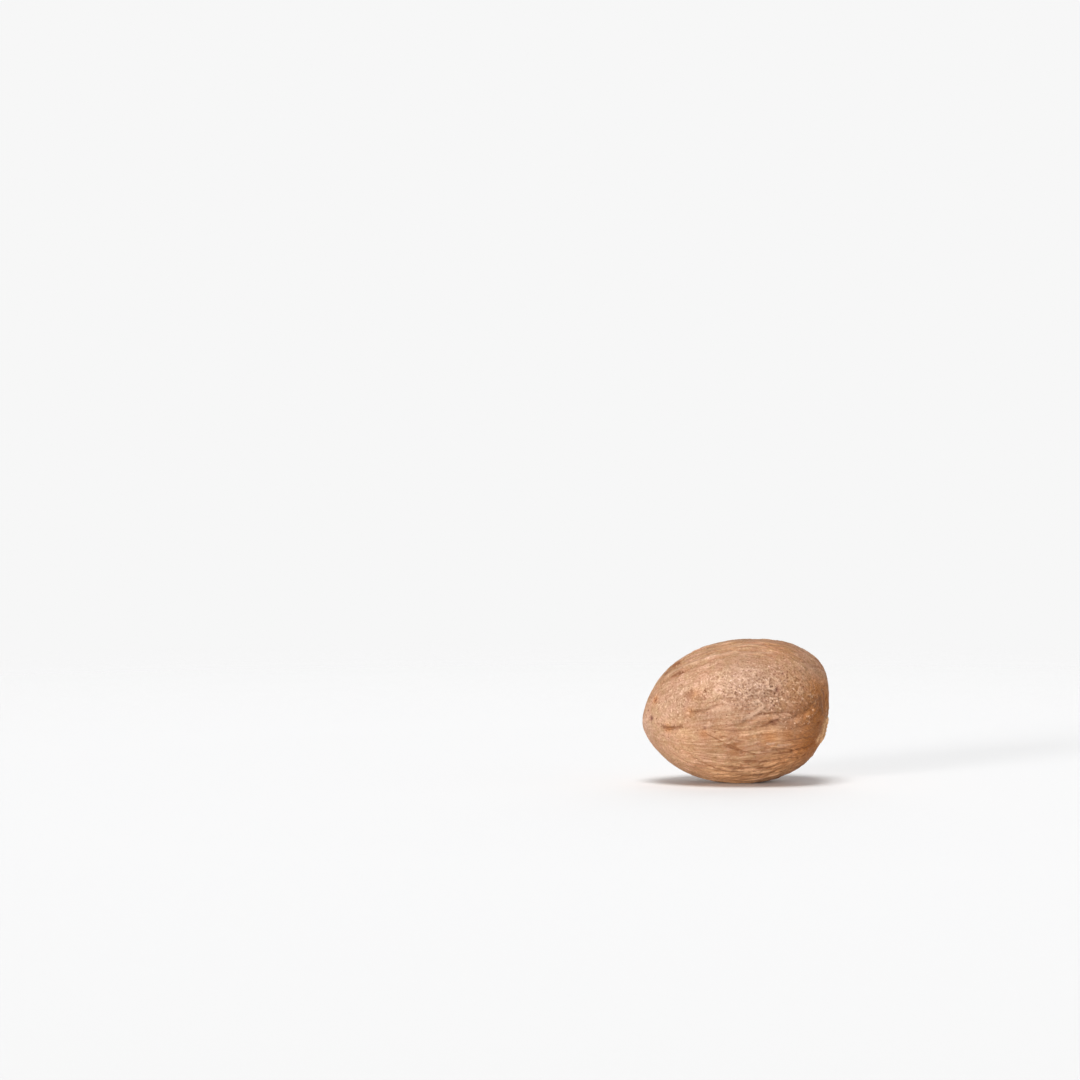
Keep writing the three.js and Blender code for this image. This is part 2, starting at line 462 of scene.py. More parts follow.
# The main furrows of the top, back and underside, those round the broad end, and fine ones
# all round.
BACK_LANES = Lanes(
    count=15,
    first=86,
    step=13.5,
    lean=9,
    meeting_gap=0.1,
    narrow_end=(-0.92, -0.74),
    meeting=(-0.42, 0.34),
    broad_end=(0.62, 0.92),
    shift=(-4, 4),
    bow=(-5, 5),
    depth=(0.12, 0.34),
    half_width=(0.45, 0.75),
)
BROAD_END_LANES = Lanes(
    count=19,
    first=-170,
    step=19,
    lean=0,
    meeting_gap=0.02,
    narrow_end=(0.6, 0.76),
    meeting=(0.83, 0.92),
    broad_end=(0.95, 0.985),
    shift=(-6, 6),
    bow=(-8, 8),
    depth=(0.06, 0.16),
    half_width=(0.32, 0.42),
)
FINE_LANES = Lanes(
    count=60,
    first=-178,
    step=6,
    lean=-5,
    meeting_gap=0.25,
    narrow_end=(-0.9, -0.5),
    meeting=(-0.5, 0.5),
    broad_end=(0.4, 0.88),
    shift=(-3, 3),
    bow=(-4, 4),
    depth=(0.03, 0.12),
    half_width=(0.22, 0.34),
)
RULED_LANES = (BACK_LANES, BROAD_END_LANES, FINE_LANES)

# Broad knobs and hollows, and then small pits.
KNOBS = (
    Knob(-0.06, 3, 2.6, 0.22),
    Knob(0.3, -7, 1.1, -0.2),
    Knob(0.36, 16, 2.8, -0.16),
    Knob(-0.26, 84, 1.3, 0.16),
    Knob(0.91, -22, 1.5, -0.24),
    Knob(0.76, -53, 0.75, 0.26),
    Knob(-0.9, 20, 0.5, -0.2),
    Knob(0.2, 150, 3.2, -0.18),
    Knob(-0.35, 215, 2.8, 0.2),
    Knob(-0.38, -5, 0.28, -0.16),
    Knob(0.43, 18, 0.3, -0.3),
    Knob(0.52, 32, 0.22, -0.2),
    Knob(-0.82, 48, 0.22, -0.16),
    Knob(-0.44, 28, 0.35, -0.1),
    Knob(-0.35, 22, 0.35, -0.1),
)

# Where the kernel is rough, scurfy, rust-brown or in painted warm shade, dusty, pale or in painted
# light, darker or in painted shade, or spotted.
PATCHES: dict[Mark, tuple[Patch, ...]] = {
    Mark.ROUGH: (
        Patch(0.36, 16, 3.8),
        Patch(0.1, 20, 3.0, 0.8),
        Patch(-0.14, 30, 3.0, 0.6),
        Patch(0.58, 14, 2.4, 0.8),
        Patch(0.76, 6, 2.0, 0.5),
        Patch(-0.3, 170, 3.4, 0.8),
        Patch(0.4, 235, 3.0, 0.7),
        Patch(0.88, 100, 3.0, 0.5),
    ),
    Mark.SCURF: (
        Patch(0.51, -14, 1.5),
        Patch(0.66, -12, 1.5),
        Patch(0.77, -13, 1.0, 0.8),
        Patch(0.36, -14, 1.0, 0.8),
        Patch(0.11, -17, 0.7),
        Patch(0.44, 8, 1.4, 0.8),
        Patch(0.02, 18, 2.6, 0.6),
        Patch(-0.7, 20, 2.4, 0.5),
        Patch(0.2, 130, 2.4, 0.35),
    ),
    Mark.RUST: (
        # Rust-brown tone; on the broad end's front and the lower right it is also painted warm shade.
        Patch(0.7, -24, 2.6, 0.85),
        Patch(0.26, -21, 1.6, 0.6),
        Patch(0.46, -23, 1.8, 0.6),
        Patch(0.3, -8, 1.4, 0.3),
        Patch(0.5, -30, 3.0, 0.5),
        Patch(-0.1, -26, 1.0, 0.35),
        Patch(0.92, -14, 3.4, 1.0),
        Patch(0.8, -25, 5.3, 0.92),
        Patch(0.97, -100, 5.5, 0.75),
        Patch(0.86, -150, 5.0, 0.6),
        Patch(0.9, 150, 5.0, 0.5),
        Patch(0.95, 70, 3.5, 0.35),
        Patch(0.68, -46, 5.0),
        Patch(0.4, -50, 3.5, 0.5),
        Patch(0.55, 66, 4.0, 0.35),
        Patch(0.66, 14, 3.4, 0.32),
        Patch(0.84, 6, 2.8, 0.85),
        Patch(-0.75, -3, 0.8, 0.5),
        Patch(-0.5, 11, 0.8, 0.4),
        Patch(-0.42, 25.5, 1.1, 0.35),
        Patch(-0.4, -10, 0.9, 0.5),
        Patch(-0.82, 47, 0.7, 0.6),
        Patch(-0.2, 200, 5.0, 0.5),
    ),
    Mark.BLOOM: (
        Patch(0.8, 110, 5.0, 0.7),
        Patch(0.75, 205, 4.0, 0.7),
        Patch(0.84, 28, 2.8, 0.5),
        Patch(0.45, -12, 2.4, 0.9),
        Patch(0.15, 24, 5.5),
        Patch(-0.3, 0, 2.6, 0.7),
        Patch(-0.97, 0, 2.2, 0.9),
        Patch(-0.6, 28, 4.5, 0.6),
        Patch(0.2, 120, 6.0, 0.7),
        Patch(-0.1, 250, 5.0, 0.6),
    ),
    Mark.PALE: (
        # Painted light: the underside, as if lit by light bounced off the floor.
        Patch(-0.1, -74, 5.5),
        Patch(0.28, -60, 3.8, 1.0),
        Patch(-0.26, -63, 3.8, 0.9),
        Patch(0.78, -58, 1.8, 0.9),
        # Painted light on the top.
        Patch(0.05, 74, 2.2, 0.35),
        # Pale tan on the front.
        Patch(-0.6, -10, 2.2, 0.3),
        Patch(-0.25, -12, 1.8, 0.35),
        Patch(0.66, -18, 1.6, 0.4),
        Patch(0.2, -11, 1.6, 0.3),
        Patch(-0.6, -30, 3.0, 0.2),
        Patch(0.3, -18, 1.6, 0.6),
        Patch(0.1, -16.5, 0.35, 0.9),
        Patch(0.0, -14, 1.4, 0.35),
    ),
    Mark.DIM: (
        # Darker greyer brown; the patches on the broad end, at stations 0.68 and 0.72, are partly
        # painted shade.
        Patch(0.44, 12, 3.6, 0.95),
        Patch(0.68, 2, 2.6, 0.9),
        Patch(0.12, 17, 2.6, 0.7),
        Patch(-0.62, -4, 3.5, 0.15),
        Patch(-0.38, -42, 3.2, 0.15),
        Patch(-0.55, 20, 3.5, 0.2),
        Patch(0.72, -44, 2.4, 0.7),
        Patch(0.58, 14, 2.2, 0.8),
        Patch(-0.6, 76, 2.0, 0.6),
    ),
    Mark.SPOT: (
        Patch(0.86, -66, 0.55, 0.55),
        Patch(0.9, 128, 0.35, 0.7),
        Patch(0.78, 172, 0.3, 0.7),
        Patch(-0.9, 20, 0.45),
        Patch(0.33, -8.5, 0.8, 0.45),
        Patch(0.56, -8, 1.2, 0.2),
        Patch(0.43, 18, 0.3, 0.8),
        Patch(-0.19, 82, 0.2, 0.7),
        Patch(0.52, 32, 0.2, 0.8),
        Patch(-0.38, -5, 0.25, 0.7),
        Patch(-0.82, 46, 0.26, 1.0),
        Patch(-0.76, 27, 0.14, 0.7),
        Patch(-0.91, 43, 0.16, 0.7),
    ),
}


@dataclass(frozen=True)
class Step:
    """A smooth step: its result goes from start to end while a value goes from low to high."""

    low: float
    high: float
    start: float = 0.0
    end: float = 1.0


class NodeBench:
    """Adds nodes to a tree and wires them in one call each."""

    CENTRE = (-0.5, -0.5, -0.5)

    def __init__(self, tree: bpy.types.NodeTree) -> None:
        """Starts with an empty tree.

        Args:
            tree: The shader or geometry tree to build in.
        """
        self.tree = tree
        tree.nodes.clear()

    def feed(self, socket: Socket, value: Any) -> None:
        """Links a socket to another, or sets its value.

        Args:
            socket: The input to feed.
            value: An output of another node, or a plain value.
        """
        if isinstance(value, Socket):
            self.tree.links.new(value, socket)
        else:
            socket.default_value = value

    def node(self, kind: str, inputs: dict[Any, Any] | None = None, **settings: Any) -> bpy.types.Node:
        """Adds a node.

        Args:
            kind: The node's type.
            inputs: What its inputs get, by name or number.
            settings: Properties of the node.

        Returns:
            The new node.
        """
        node = self.tree.nodes.new(kind)
        for name, value in settings.items():
            setattr(node, name, value)
        for key, value in (inputs or {}).items():
            self.feed(node.inputs[key], value)
        return node

    def math(self, operation: str, first: Any, second: Any = 0.0, clamp: bool = False) -> Socket:
        """The result of a calculation with one or two numbers."""
        inputs = {0: first, 1: second}
        return self.node("ShaderNodeMath", inputs, operation=operation, use_clamp=clamp).outputs[0]

    def product(self, *values: Any) -> Socket:
        """All the numbers multiplied.

        Args:
            values: The numbers, two or more.

        Returns:
            Their product.
        """
        total = values[0]
        for value in values[1:]:
            total = self.math("MULTIPLY", total, value)
        return total

    def centred(self, value: Socket) -> Socket:
        """A noise less its middle value, a half."""
        return self.math("SUBTRACT", value, 0.5)

    def off_middle(self, value: Socket) -> Socket:
        """How far a noise is from its middle value."""
        return self.math("ABSOLUTE", self.centred(value))

    def scaled(self, vector: Any, factor: Any) -> Socket:
        """A vector times a number."""
        inputs = {0: vector, "Scale": factor}
        return self.node("ShaderNodeVectorMath", inputs, operation="SCALE").outputs[0]

    def added(self, first: Any, second: Any) -> Socket:
        """The sum of two vectors."""
        return self.node("ShaderNodeVectorMath", {0: first, 1: second}, operation="ADD").outputs[0]

    def dot(self, first: Any, second: Any) -> Socket:
        """The scalar product of two vectors."""
        node = self.node("ShaderNodeVectorMath", {0: first, 1: second}, operation="DOT_PRODUCT")
        return node.outputs["Value"]

    def parts(self, vector: Any) -> list[Socket]:
        """A vector's x, y and z."""
        return list(self.node("ShaderNodeSeparateXYZ", {0: vector}).outputs)

    def vector(self, x: Any, y: Any, z: Any) -> Socket:
        """A vector from its x, y and z."""
        return self.node("ShaderNodeCombineXYZ", {0: x, 1: y, 2: z}).outputs[0]

    def ramp(self, value: Any, step: Step) -> Socket:
        """A smooth step of a value."""
        inputs = {"Value": value, 1: step.low, 2: step.high, 3: step.start, 4: step.end}
        return self.node("ShaderNodeMapRange", inputs, interpolation_type="SMOOTHSTEP").outputs[0]

    def line(self, value: Socket, width: float) -> Socket:
        """1 where a noise passes its middle value, falling to 0 a width away from it."""
        return self.ramp(self.off_middle(value), Step(0.0, width, 1.0, 0.0))

    def tinted(self, factor: Any, first: Any, second: Any, blend: str = "MIX") -> Socket:
        """Two colours mixed by a factor."""
        inputs = {0: factor, 6: first, 7: second}
        return self.node("ShaderNodeMix", inputs, data_type="RGBA", blend_type=blend).outputs[2]

    def noise(
        self, vector: Socket, scale: Any, detail: float, seed: Any, roughness: float = 0.5
    ) -> bpy.types.Node:
        """Adds a noise node in four dimensions.

        Args:
            vector: The coordinates.
            scale: Spots to a unit of the coordinates.
            detail: How many finer noises are added to it.
            seed: The fourth coordinate.
            roughness: How strong the finer noises are.

        Returns:
            The node.
        """
        inputs = {
            "Vector": vector,
            "W": seed,
            "Scale": scale,
            "Detail": detail,
            "Roughness": roughness,
        }
        return self.node("ShaderNodeTexNoise", inputs, noise_dimensions="4D")

    def strayed(self, vector: Socket, scale: float, detail: float, seed: Any, reach: float) -> Socket:
        """Moves coordinates about by a noise.

        Args:
            vector: The coordinates.
            scale: The noise's spots to a unit of the coordinates.
            detail: How many finer noises are added to it.
            seed: The noise's fourth coordinate.
            reach: How far the noise can spread a place, from end to end.

        Returns:
            The moved coordinates.
        """
        noise = self.noise(vector, scale, detail, seed).outputs["Color"]
        return self.added(vector, self.scaled(self.added(noise, self.CENTRE), reach))

    def cells(self, vector: Socket, scale: float) -> bpy.types.Node:
        """A node of random cells, each with a colour of its own and the distance to its middle."""
        return self.node("ShaderNodeTexVoronoi", {"Vector": vector, "Scale": scale})


@dataclass(frozen=True)
class Noise:
    """A soft random pattern, whose largest spots are about as wide as its size in metres."""

    size: float
    detail: float
    seed: float
    roughness: float = 0.5

    def build(self, bench: NodeBench, spot: Socket) -> Socket:
        """Adds the pattern's nodes and returns its value, which lies around a half."""
        return bench.noise(spot, 1 / self.size, self.detail, self.seed, self.roughness).outputs[0]


@dataclass(frozen=True)
class Dots:
    """Small round dots in about half of the cells of a random pattern.

    The spacing is the width of a cell in metres, the size is the radius of the largest dots as a
    share of the spacing, and the strength is the value in the middle of a dot.
    """

    spacing: float
    size: float
    strength: float

    SEED = 9.0
    STRAY_SCALE = 1.4
    STRAY = 0.9
    CHOSEN = (0.35, 0.7)
    LEAST_SIZE = 0.01
    EDGE = (0.35, 1.0)

    def build(self, bench: NodeBench, spot: Socket) -> Socket:
        """Adds the nodes that draw the dots.

        Args:
            bench: Where the nodes go.
            spot: The object coordinates.

        Returns:
            The dots' strength at each place.
        """
        stray = self.STRAY * self.spacing
        uneven = bench.strayed(spot, self.STRAY_SCALE / self.spacing, 1.0, self.SEED, stray)
        cells = bench.cells(uneven, 1 / self.spacing).outputs
        radius = bench.ramp(cells["Color"], Step(*self.CHOSEN, self.LEAST_SIZE, self.size))
        inside = bench.math("DIVIDE", cells["Distance"], radius)
        return bench.ramp(inside, Step(*self.EDGE, self.strength, 0.0))


@dataclass(frozen=True)
class LaneCoordinates:
    """Coordinates that stretch a pattern along the kernel and draw it in towards both ends.

    Lanes meet at the narrow tip and, pulled aside from the broad tip, at the hilum. The meeting is
    the way from the hilum to the long axis, straight across it, as a part of a unit direction.
    """

    stretch: float
    draw_in: float = -0.75
    least_ring: float = 0.12
    wander_scale: float = 1.8
    wander: float = 0.16
    meeting: tuple[float, float, float] = (0, 0.207, 0.466)
    pull: Step = Step(0.2, 0.95)

    def build(self, bench: NodeBench, bearing: Socket, seed: Any) -> Socket:
        """Adds the nodes that turn bearings into lane coordinates.

        Args:
            bench: Where the nodes go.
            bearing: The unit direction of each place.
            seed: The fixed seed of the wandering.

        Returns:
            The coordinates, in units of the kernel's half breadth across the lanes.
        """
        wandering = bench.strayed(bearing, self.wander_scale, 1.0, seed, self.wander)
        pulled = bench.scaled(self.meeting, bench.ramp(bench.parts(bearing)[0], self.pull))
        x, y, z = bench.parts(bench.added(wandering, pulled))
        square = bench.math("ADD", bench.product(y, y), bench.product(z, z))
        ring = bench.math("MAXIMUM", bench.math("SQRT", square), self.least_ring)
        draw_in = bench.math("POWER", ring, self.draw_in)
        along = bench.product(x, 1 / self.stretch)
        return bench.vector(along, bench.product(y, draw_in), bench.product(z, draw_in))


@dataclass(frozen=True)
class LanePattern:
    """A noise drawn out along the kernel."""

    fineness: float
    stretch: float
    detail: float

    def build(self, bench: NodeBench, bearing: Socket, seed: Any) -> Socket:
        """Adds the pattern's nodes and returns its value, which lies around a half."""
        lanes = LaneCoordinates(self.stretch).build(bench, bearing, seed)
        return bench.noise(lanes, self.fineness, self.detail, seed).outputs[0]


# Patterns of the kernel's relief and of its colours.
WRINKLES = LanePattern(fineness=9, stretch=2.25, detail=3)
THREADS = LanePattern(fineness=21, stretch=12, detail=1)
STREAKS = LanePattern(fineness=42, stretch=9, detail=3)
PATTERN_SEED = 7
WORM_SIZE = 1.3 * MM


@dataclass(frozen=True)
class WrinkleSizes:
    """Sizes of the fine relief that Geometry Nodes add, and the seed of its patterns."""

    wrinkle_depth: float = 0.1 * MM
    swell_height: float = 0.14 * MM
    thread_depth: float = 0.07 * MM
    rough_height: float = 0.4 * MM
    worm_height: float = 0.1 * MM
    pit_depth: float = 0.2 * MM
    pore_depth: float = 0.09 * MM
    seed: int = PATTERN_SEED


class WrinkleTree:
    """The Geometry Nodes tree that adds wrinkles, pits and pores to the kernel's surface."""

    NAME = "kernel_wrinkles"
    WRINKLE_WIDTH = 0.1
    THREAD_WIDTH = 0.15
    PATCH_SCALE = 2.2
    PATCHINESS = Step(0.38, 0.62, 0.25, 1.0)
    PIT_SPACING = 0.7 * MM
    PIT = Step(0.1, 0.36, 1.0, 0.0)
    PORE_SPACING = 1.7 * MM
    PORE = Step(0.04, 0.12, 1.0, 0.0)
    PORE_SHARE = 0.45
    WORM_WIDTH = 0.1
    GRAIN_SIZE = 0.45 * MM
    GRAIN_DETAIL = 3.0
    GRAIN_ROUGHNESS = 0.6
    CALM_SHARE = 0.25
    # How much relief height spans the painted shade and light, from darkest to lightest.
    FULL_SWELL = 0.16 * MM

    def __init__(self, sizes: WrinkleSizes) -> None:
        """Builds the tree.

        Args:
            sizes: The values that its inputs get.
        """
        self.sizes = sizes
        self.tree = bpy.data.node_groups.new(self.NAME, "GeometryNodeTree")
        self.inputs: dict[str, bpy.types.NodeTreeInterfaceSocket] = {}
        self.bench = NodeBench(self.tree)
        self.add_sockets()
        self.given = self.bench.node("NodeGroupInput").outputs
        self.seed = self.given["Seed"]
        self.position = self.bench.node("GeometryNodeInputPosition").outputs[0]
        self.bearing = self.mark(Mark.BEARING, "FLOAT_VECTOR")
        self.rough = self.mark(Mark.ROUGH)
        self.wire()

    def add_sockets(self) -> None:
        """Gives the tree an input for each size, the seed and the finish, and its output."""
        face = self.tree.interface
        face.new_socket("Geometry", in_out="INPUT", socket_type="NodeSocketGeometry")
        face.new_socket("Geometry", in_out="OUTPUT", socket_type="NodeSocketGeometry")
        for size in fields(self.sizes):
            kind = "NodeSocketInt" if size.name == "seed" else "NodeSocketFloat"
            title = size.name.replace("_", " ").capitalize()
            self.inputs[size.name] = face.new_socket(title, socket_type=kind)
        self.inputs["finish"] = face.new_socket("Finish", socket_type="NodeSocketMaterial")

    def mark(self, mark: Mark, kind: str = "FLOAT") -> Socket:
        """Reads one of the mesh's attributes."""
        inputs = {0: mark.value}
        return self.bench.node("GeometryNodeInputNamedAttribute", inputs, data_type=kind).outputs[0]

    def store(self, geometry: Socket, mark: Mark, value: Socket) -> Socket:
        """Keeps a value as an attribute of the mesh's vertices."""
        inputs = {"Geometry": geometry, "Name": mark.value, "Value": value}
        return self.bench.node("GeometryNodeStoreNamedAttribute", inputs, domain="POINT").outputs[0]

    def creases(self, wrinkle: Socket) -> tuple[Socket, Socket]:
        """Adds the wrinkles' and the threads' lines.

        Args:
            wrinkle: The wrinkles' pattern.

        Returns:
            How deep each place is in a wrinkle and in a thread, as shares.
        """
        bench = self.bench
        lined = self.mark(Mark.LINED)
        patches = bench.noise(self.bearing, self.PATCH_SCALE, 1.0, self.seed).outputs[0]
        patchy = bench.ramp(patches, self.PATCHINESS)
        wrinkle_line = bench.product(bench.line(wrinkle, self.WRINKLE_WIDTH), patchy, lined)
        thread = THREADS.build(bench, self.bearing, self.seed)
        return wrinkle_line, bench.product(bench.line(thread, self.THREAD_WIDTH), lined)

    def pits(self) -> tuple[Socket, Socket]:
        """Adds the pits of the rough patches and the pores all over.

        Returns:
            How deep each place is in a pit and in a pore, as shares.
        """
        bench = self.bench
        pit_cell = bench.cells(self.position, 1 / self.PIT_SPACING).outputs["Distance"]
        pit = bench.product(bench.ramp(pit_cell, self.PIT), self.rough)
        pore_cell = bench.cells(self.position, 1 / self.PORE_SPACING).outputs
        chosen = bench.math("LESS_THAN", pore_cell["Color"], self.PORE_SHARE)
        return pit, bench.product(bench.ramp(pore_cell["Distance"], self.PORE), chosen)

    def bumps(self) -> tuple[Socket, Socket]:
        """Adds the worm-like ridges and the bumps, which are strongest in the rough patches.

        Returns:
            The height of the ridges and that of the bumps.
        """
        bench = self.bench
        worm = bench.noise(self.position, 1 / WORM_SIZE, 1.0, self.seed).outputs[0]
        worm_line = bench.product(bench.line(worm, self.WORM_WIDTH), self.rough)
        detail, roughness = self.GRAIN_DETAIL, self.GRAIN_ROUGHNESS
        grain = bench.noise(self.position, 1 / self.GRAIN_SIZE, detail, self.seed, roughness)
        level = bench.centred(grain.outputs[0])
        coarse = bench.math("ADD", bench.product(self.rough, 1 - self.CALM_SHARE), self.CALM_SHARE)
        ridges = bench.product(worm_line, self.given["Worm height"])
        return ridges, bench.product(level, coarse, self.given["Rough height"])

    def raised(self, height: Socket) -> Socket:
        """Raises the surface along its normals, but never lets it into the floor.

        Args:
            height: How far each place is raised.

        Returns:
            The geometry.
        """
        bench = self.bench
        normal = bench.node("GeometryNodeInputNormal").outputs[0]
        x, y, z = bench.parts(bench.added(self.position, bench.scaled(normal, height)))
        place = bench.vector(x, y, bench.math("MAXIMUM", z, 0.0))
        inputs = {"Geometry": self.given["Geometry"], "Position": place}
        return bench.node("GeometryNodeSetPosition", inputs).outputs[0]

    def wire(self) -> None:
        """Adds the nodes, from the patterns to the finished surface."""
        bench, given = self.bench, self.given
        wrinkle = WRINKLES.build(bench, self.bearing, self.seed)
        wrinkle_line, thread_line = self.creases(wrinkle)
        pit, pore = self.pits()
        ridges, bumps = self.bumps()
        height = bench.product(bench.centred(wrinkle), given["Swell height"])
        height = bench.math("ADD", height, ridges)
        for share, size in (
            (wrinkle_line, "Wrinkle depth"),
            (thread_line, "Thread depth"),
            (pit, "Pit depth"),
            (pore, "Pore depth"),
        ):
            height = bench.math("SUBTRACT", height, bench.product(share, given[size]))
        height = bench.math("ADD", height, bumps)
        # The relief's height, stored for the finish, which paints shade in the hollows and light on
        # the raised parts from it.
        swell = bench.math("ADD", bench.product(height, 1 / self.FULL_SWELL), 0.5, clamp=True)
        geometry = self.raised(height)
        geometry = self.store(geometry, Mark.CREASE, wrinkle_line)
        geometry = self.store(geometry, Mark.SWELL, swell)
        geometry = self.store(geometry, Mark.PIT, bench.math("MAXIMUM", pit, pore))
        for kind, inputs in (
            ("GeometryNodeSetShadeSmooth", {"Shade Smooth": True}),
            ("GeometryNodeRealizeInstances", {}),
            ("GeometryNodeSetMaterial", {"Material": given["Finish"]}),
        ):
            geometry = bench.node(kind, {"Geometry": geometry, **inputs}).outputs[0]
        bench.node("NodeGroupOutput", {0: geometry})

    def apply(self, piece: bpy.types.Object, finish: bpy.types.Material) -> None:
        """Runs the tree on a piece and turns the result into a plain mesh.

        Args:
            piece: The piece to wrinkle, which gets the new mesh.
            finish: The material that it gets.
        """
        modifier = piece.modifiers.new(self.NAME, "NODES")
        modifier.node_group = self.tree
        for name, socket in self.inputs.items():
            modifier[socket.identifier] = finish if name == "finish" else getattr(self.sizes, name)
        depsgraph = bpy.context.evaluated_depsgraph_get()
        evaluated = piece.evaluated_get(depsgraph)
        wrinkled = bpy.data.meshes.new_from_object(
            evaluated, preserve_all_data_layers=True, depsgraph=depsgraph
        )
        piece.modifiers.remove(modifier)
        plain = piece.data
        piece.data = wrinkled
        bpy.data.meshes.remove(plain)


@dataclass(frozen=True)
class Stroke:
    """A thin line in the kernel's colour, through three places.

    It is finer than the mesh, so the finish draws it from the unit direction of each place. The
    half width is in millimetres.
    """

    start: Place
    middle: Place
    end: Place
    strength: float = 0.5
    half_width: float = 0.16

    def build(self, bench: NodeBench, bearing: Socket) -> Socket:
        """Adds the nodes that draw the line.

        Args:
            bench: Where the nodes go.
            bearing: The unit direction of each place.

        Returns:
            The line's strength at each place.
        """
        start, middle, end = (direction_of(*at) for at in (self.start, self.middle, self.end))
        pole = np.cross(middle - start, end - middle)
        pole /= np.linalg.norm(pole)
        level = bench.math("SUBTRACT", bench.dot(bearing, pole), float(pole @ middle))
        width = self.half_width * MM / KernelForm.half_breadth
        across = bench.ramp(bench.math("ABSOLUTE", level), Step(0.0, width, self.strength, 0.0))
        reach = float(min(middle @ start, middle @ end))
        along = bench.ramp(bench.dot(bearing, middle), Step(reach, (1 + reach) / 2))
        return bench.product(across, along)


# Creases: near the narrow end, along the long fold and the fan below it, over the lower half, round
# the broad end and over the upper side. The widest, over the top near the narrow end, is painted shade
# in a furrow.
DARK_STROKES = (
    Stroke((-0.83, 2.3), (-0.72, -3.4), (-0.6, -0.5), 0.75, 0.17),
    Stroke((-0.53, 11), (-0.37, 10.5), (-0.2, 13.5), 0.45, 0.16),
    Stroke((-0.37, -10.5), (-0.25, -17.5), (-0.08, -26), 0.7, 0.16),
    Stroke((-0.2, -21), (-0.04, -28.5), (0.14, -34), 0.7, 0.16),
    Stroke((-0.24, -12.5), (-0.12, -17), (0.02, -20), 0.4, 0.2),
    Stroke((0.12, 0), (0.34, -0.6), (0.56, -5.2), 0.8, 0.15),
    Stroke((-0.32, -6), (-0.1, -9.3), (0.14, -10), 0.5, 0.18),
    Stroke((0.14, -9.5), (0.28, -8.6), (0.4, -7.6), 0.65, 0.3),
    Stroke((-0.48, -41), (-0.28, -48), (-0.04, -51), 0.8, 0.2),
    Stroke((-0.32, -43), (-0.14, -47), (0.06, -48), 0.7, 0.18),
    Stroke((-0.02, -38.5), (0.09, -41), (0.22, -40.5), 0.75, 0.2),
    Stroke((0.08, -49), (0.21, -53), (0.36, -55), 0.7, 0.2),
    Stroke((-0.12, -44.5), (0.02, -45.5), (0.16, -46), 0.65, 0.18),
    Stroke((0.18, -30.5), (0.29, -32.5), (0.42, -33), 0.7, 0.18),
    Stroke((0.28, -36.5), (0.42, -39.5), (0.58, -45), 0.75, 0.2),
    Stroke((0, -57), (0.14, -59.5), (0.3, -60), 0.6, 0.2),
    Stroke((-0.22, -35), (-0.08, -37.5), (0.06, -38), 0.6, 0.16),
    Stroke((0.34, -45), (0.48, -50), (0.62, -58), 0.65, 0.2),
    Stroke((0.42, -27), (0.57, -30.5), (0.72, -38), 0.7, 0.2),
    Stroke((0.48, -18), (0.62, -19.5), (0.76, -25), 0.6, 0.18),
    Stroke((0.83, -1), (0.86, -14), (0.84, -27), 0.6, 0.2),
    Stroke((0.88, 9), (0.91, -8), (0.9, -25), 0.6, 0.2),
    # Painted shade in the furrow over the top near the narrow end.
    Stroke((-0.7, 76), (-0.6, 79), (-0.5, 83), 1.0, 0.7),
    Stroke((-0.62, 73.5), (-0.56, 72.5), (-0.49, 71), 1.0, 0.34),
    Stroke((-0.65, 61), (-0.57, 59), (-0.47, 57), 0.9, 0.3),
    Stroke((-0.52, 24), (-0.485, 27), (-0.45, 28.5), 0.6, 0.26),
    Stroke((-0.39, 25.5), (-0.355, 24), (-0.32, 25), 0.55, 0.24),
    Stroke((-0.77, 63.5), (-0.72, 62.5), (-0.67, 61), 0.7, 0.3),
)

# Low ridges, partly worn pale and partly painted light where the light falls on them.
PALE_AND_LIT_STROKES = (
    Stroke((-0.68, 67.5), (-0.5, 64), (-0.28, 57), 0.35, 0.32),
    Stroke((-0.4, 61), (-0.15, 60), (0.1, 59), 0.3, 0.3),
    Stroke((0.16, 8.5), (0.2, 10.5), (0.26, 13), 0.6, 0.2),
    Stroke((0, -1.5), (0.06, -0.5), (0.13, 2), 0.5, 0.22),
    Stroke((0.13, 1), (0.2, 3.5), (0.28, 8), 0.5, 0.2),
    Stroke((0.18, -23.5), (0.25, -25.5), (0.33, -27), 0.7, 0.17),
    Stroke((0.32, -28), (0.38, -30), (0.45, -32), 0.5, 0.16),
    Stroke((0, 71), (0.2, 73), (0.42, 73), 0.3, 0.3),
    Stroke((0.1, 56), (0.3, 57), (0.5, 54), 0.3, 0.26),
    Stroke((-0.26, 8), (-0.16, 9), (-0.06, 7), 0.4, 0.2),
)


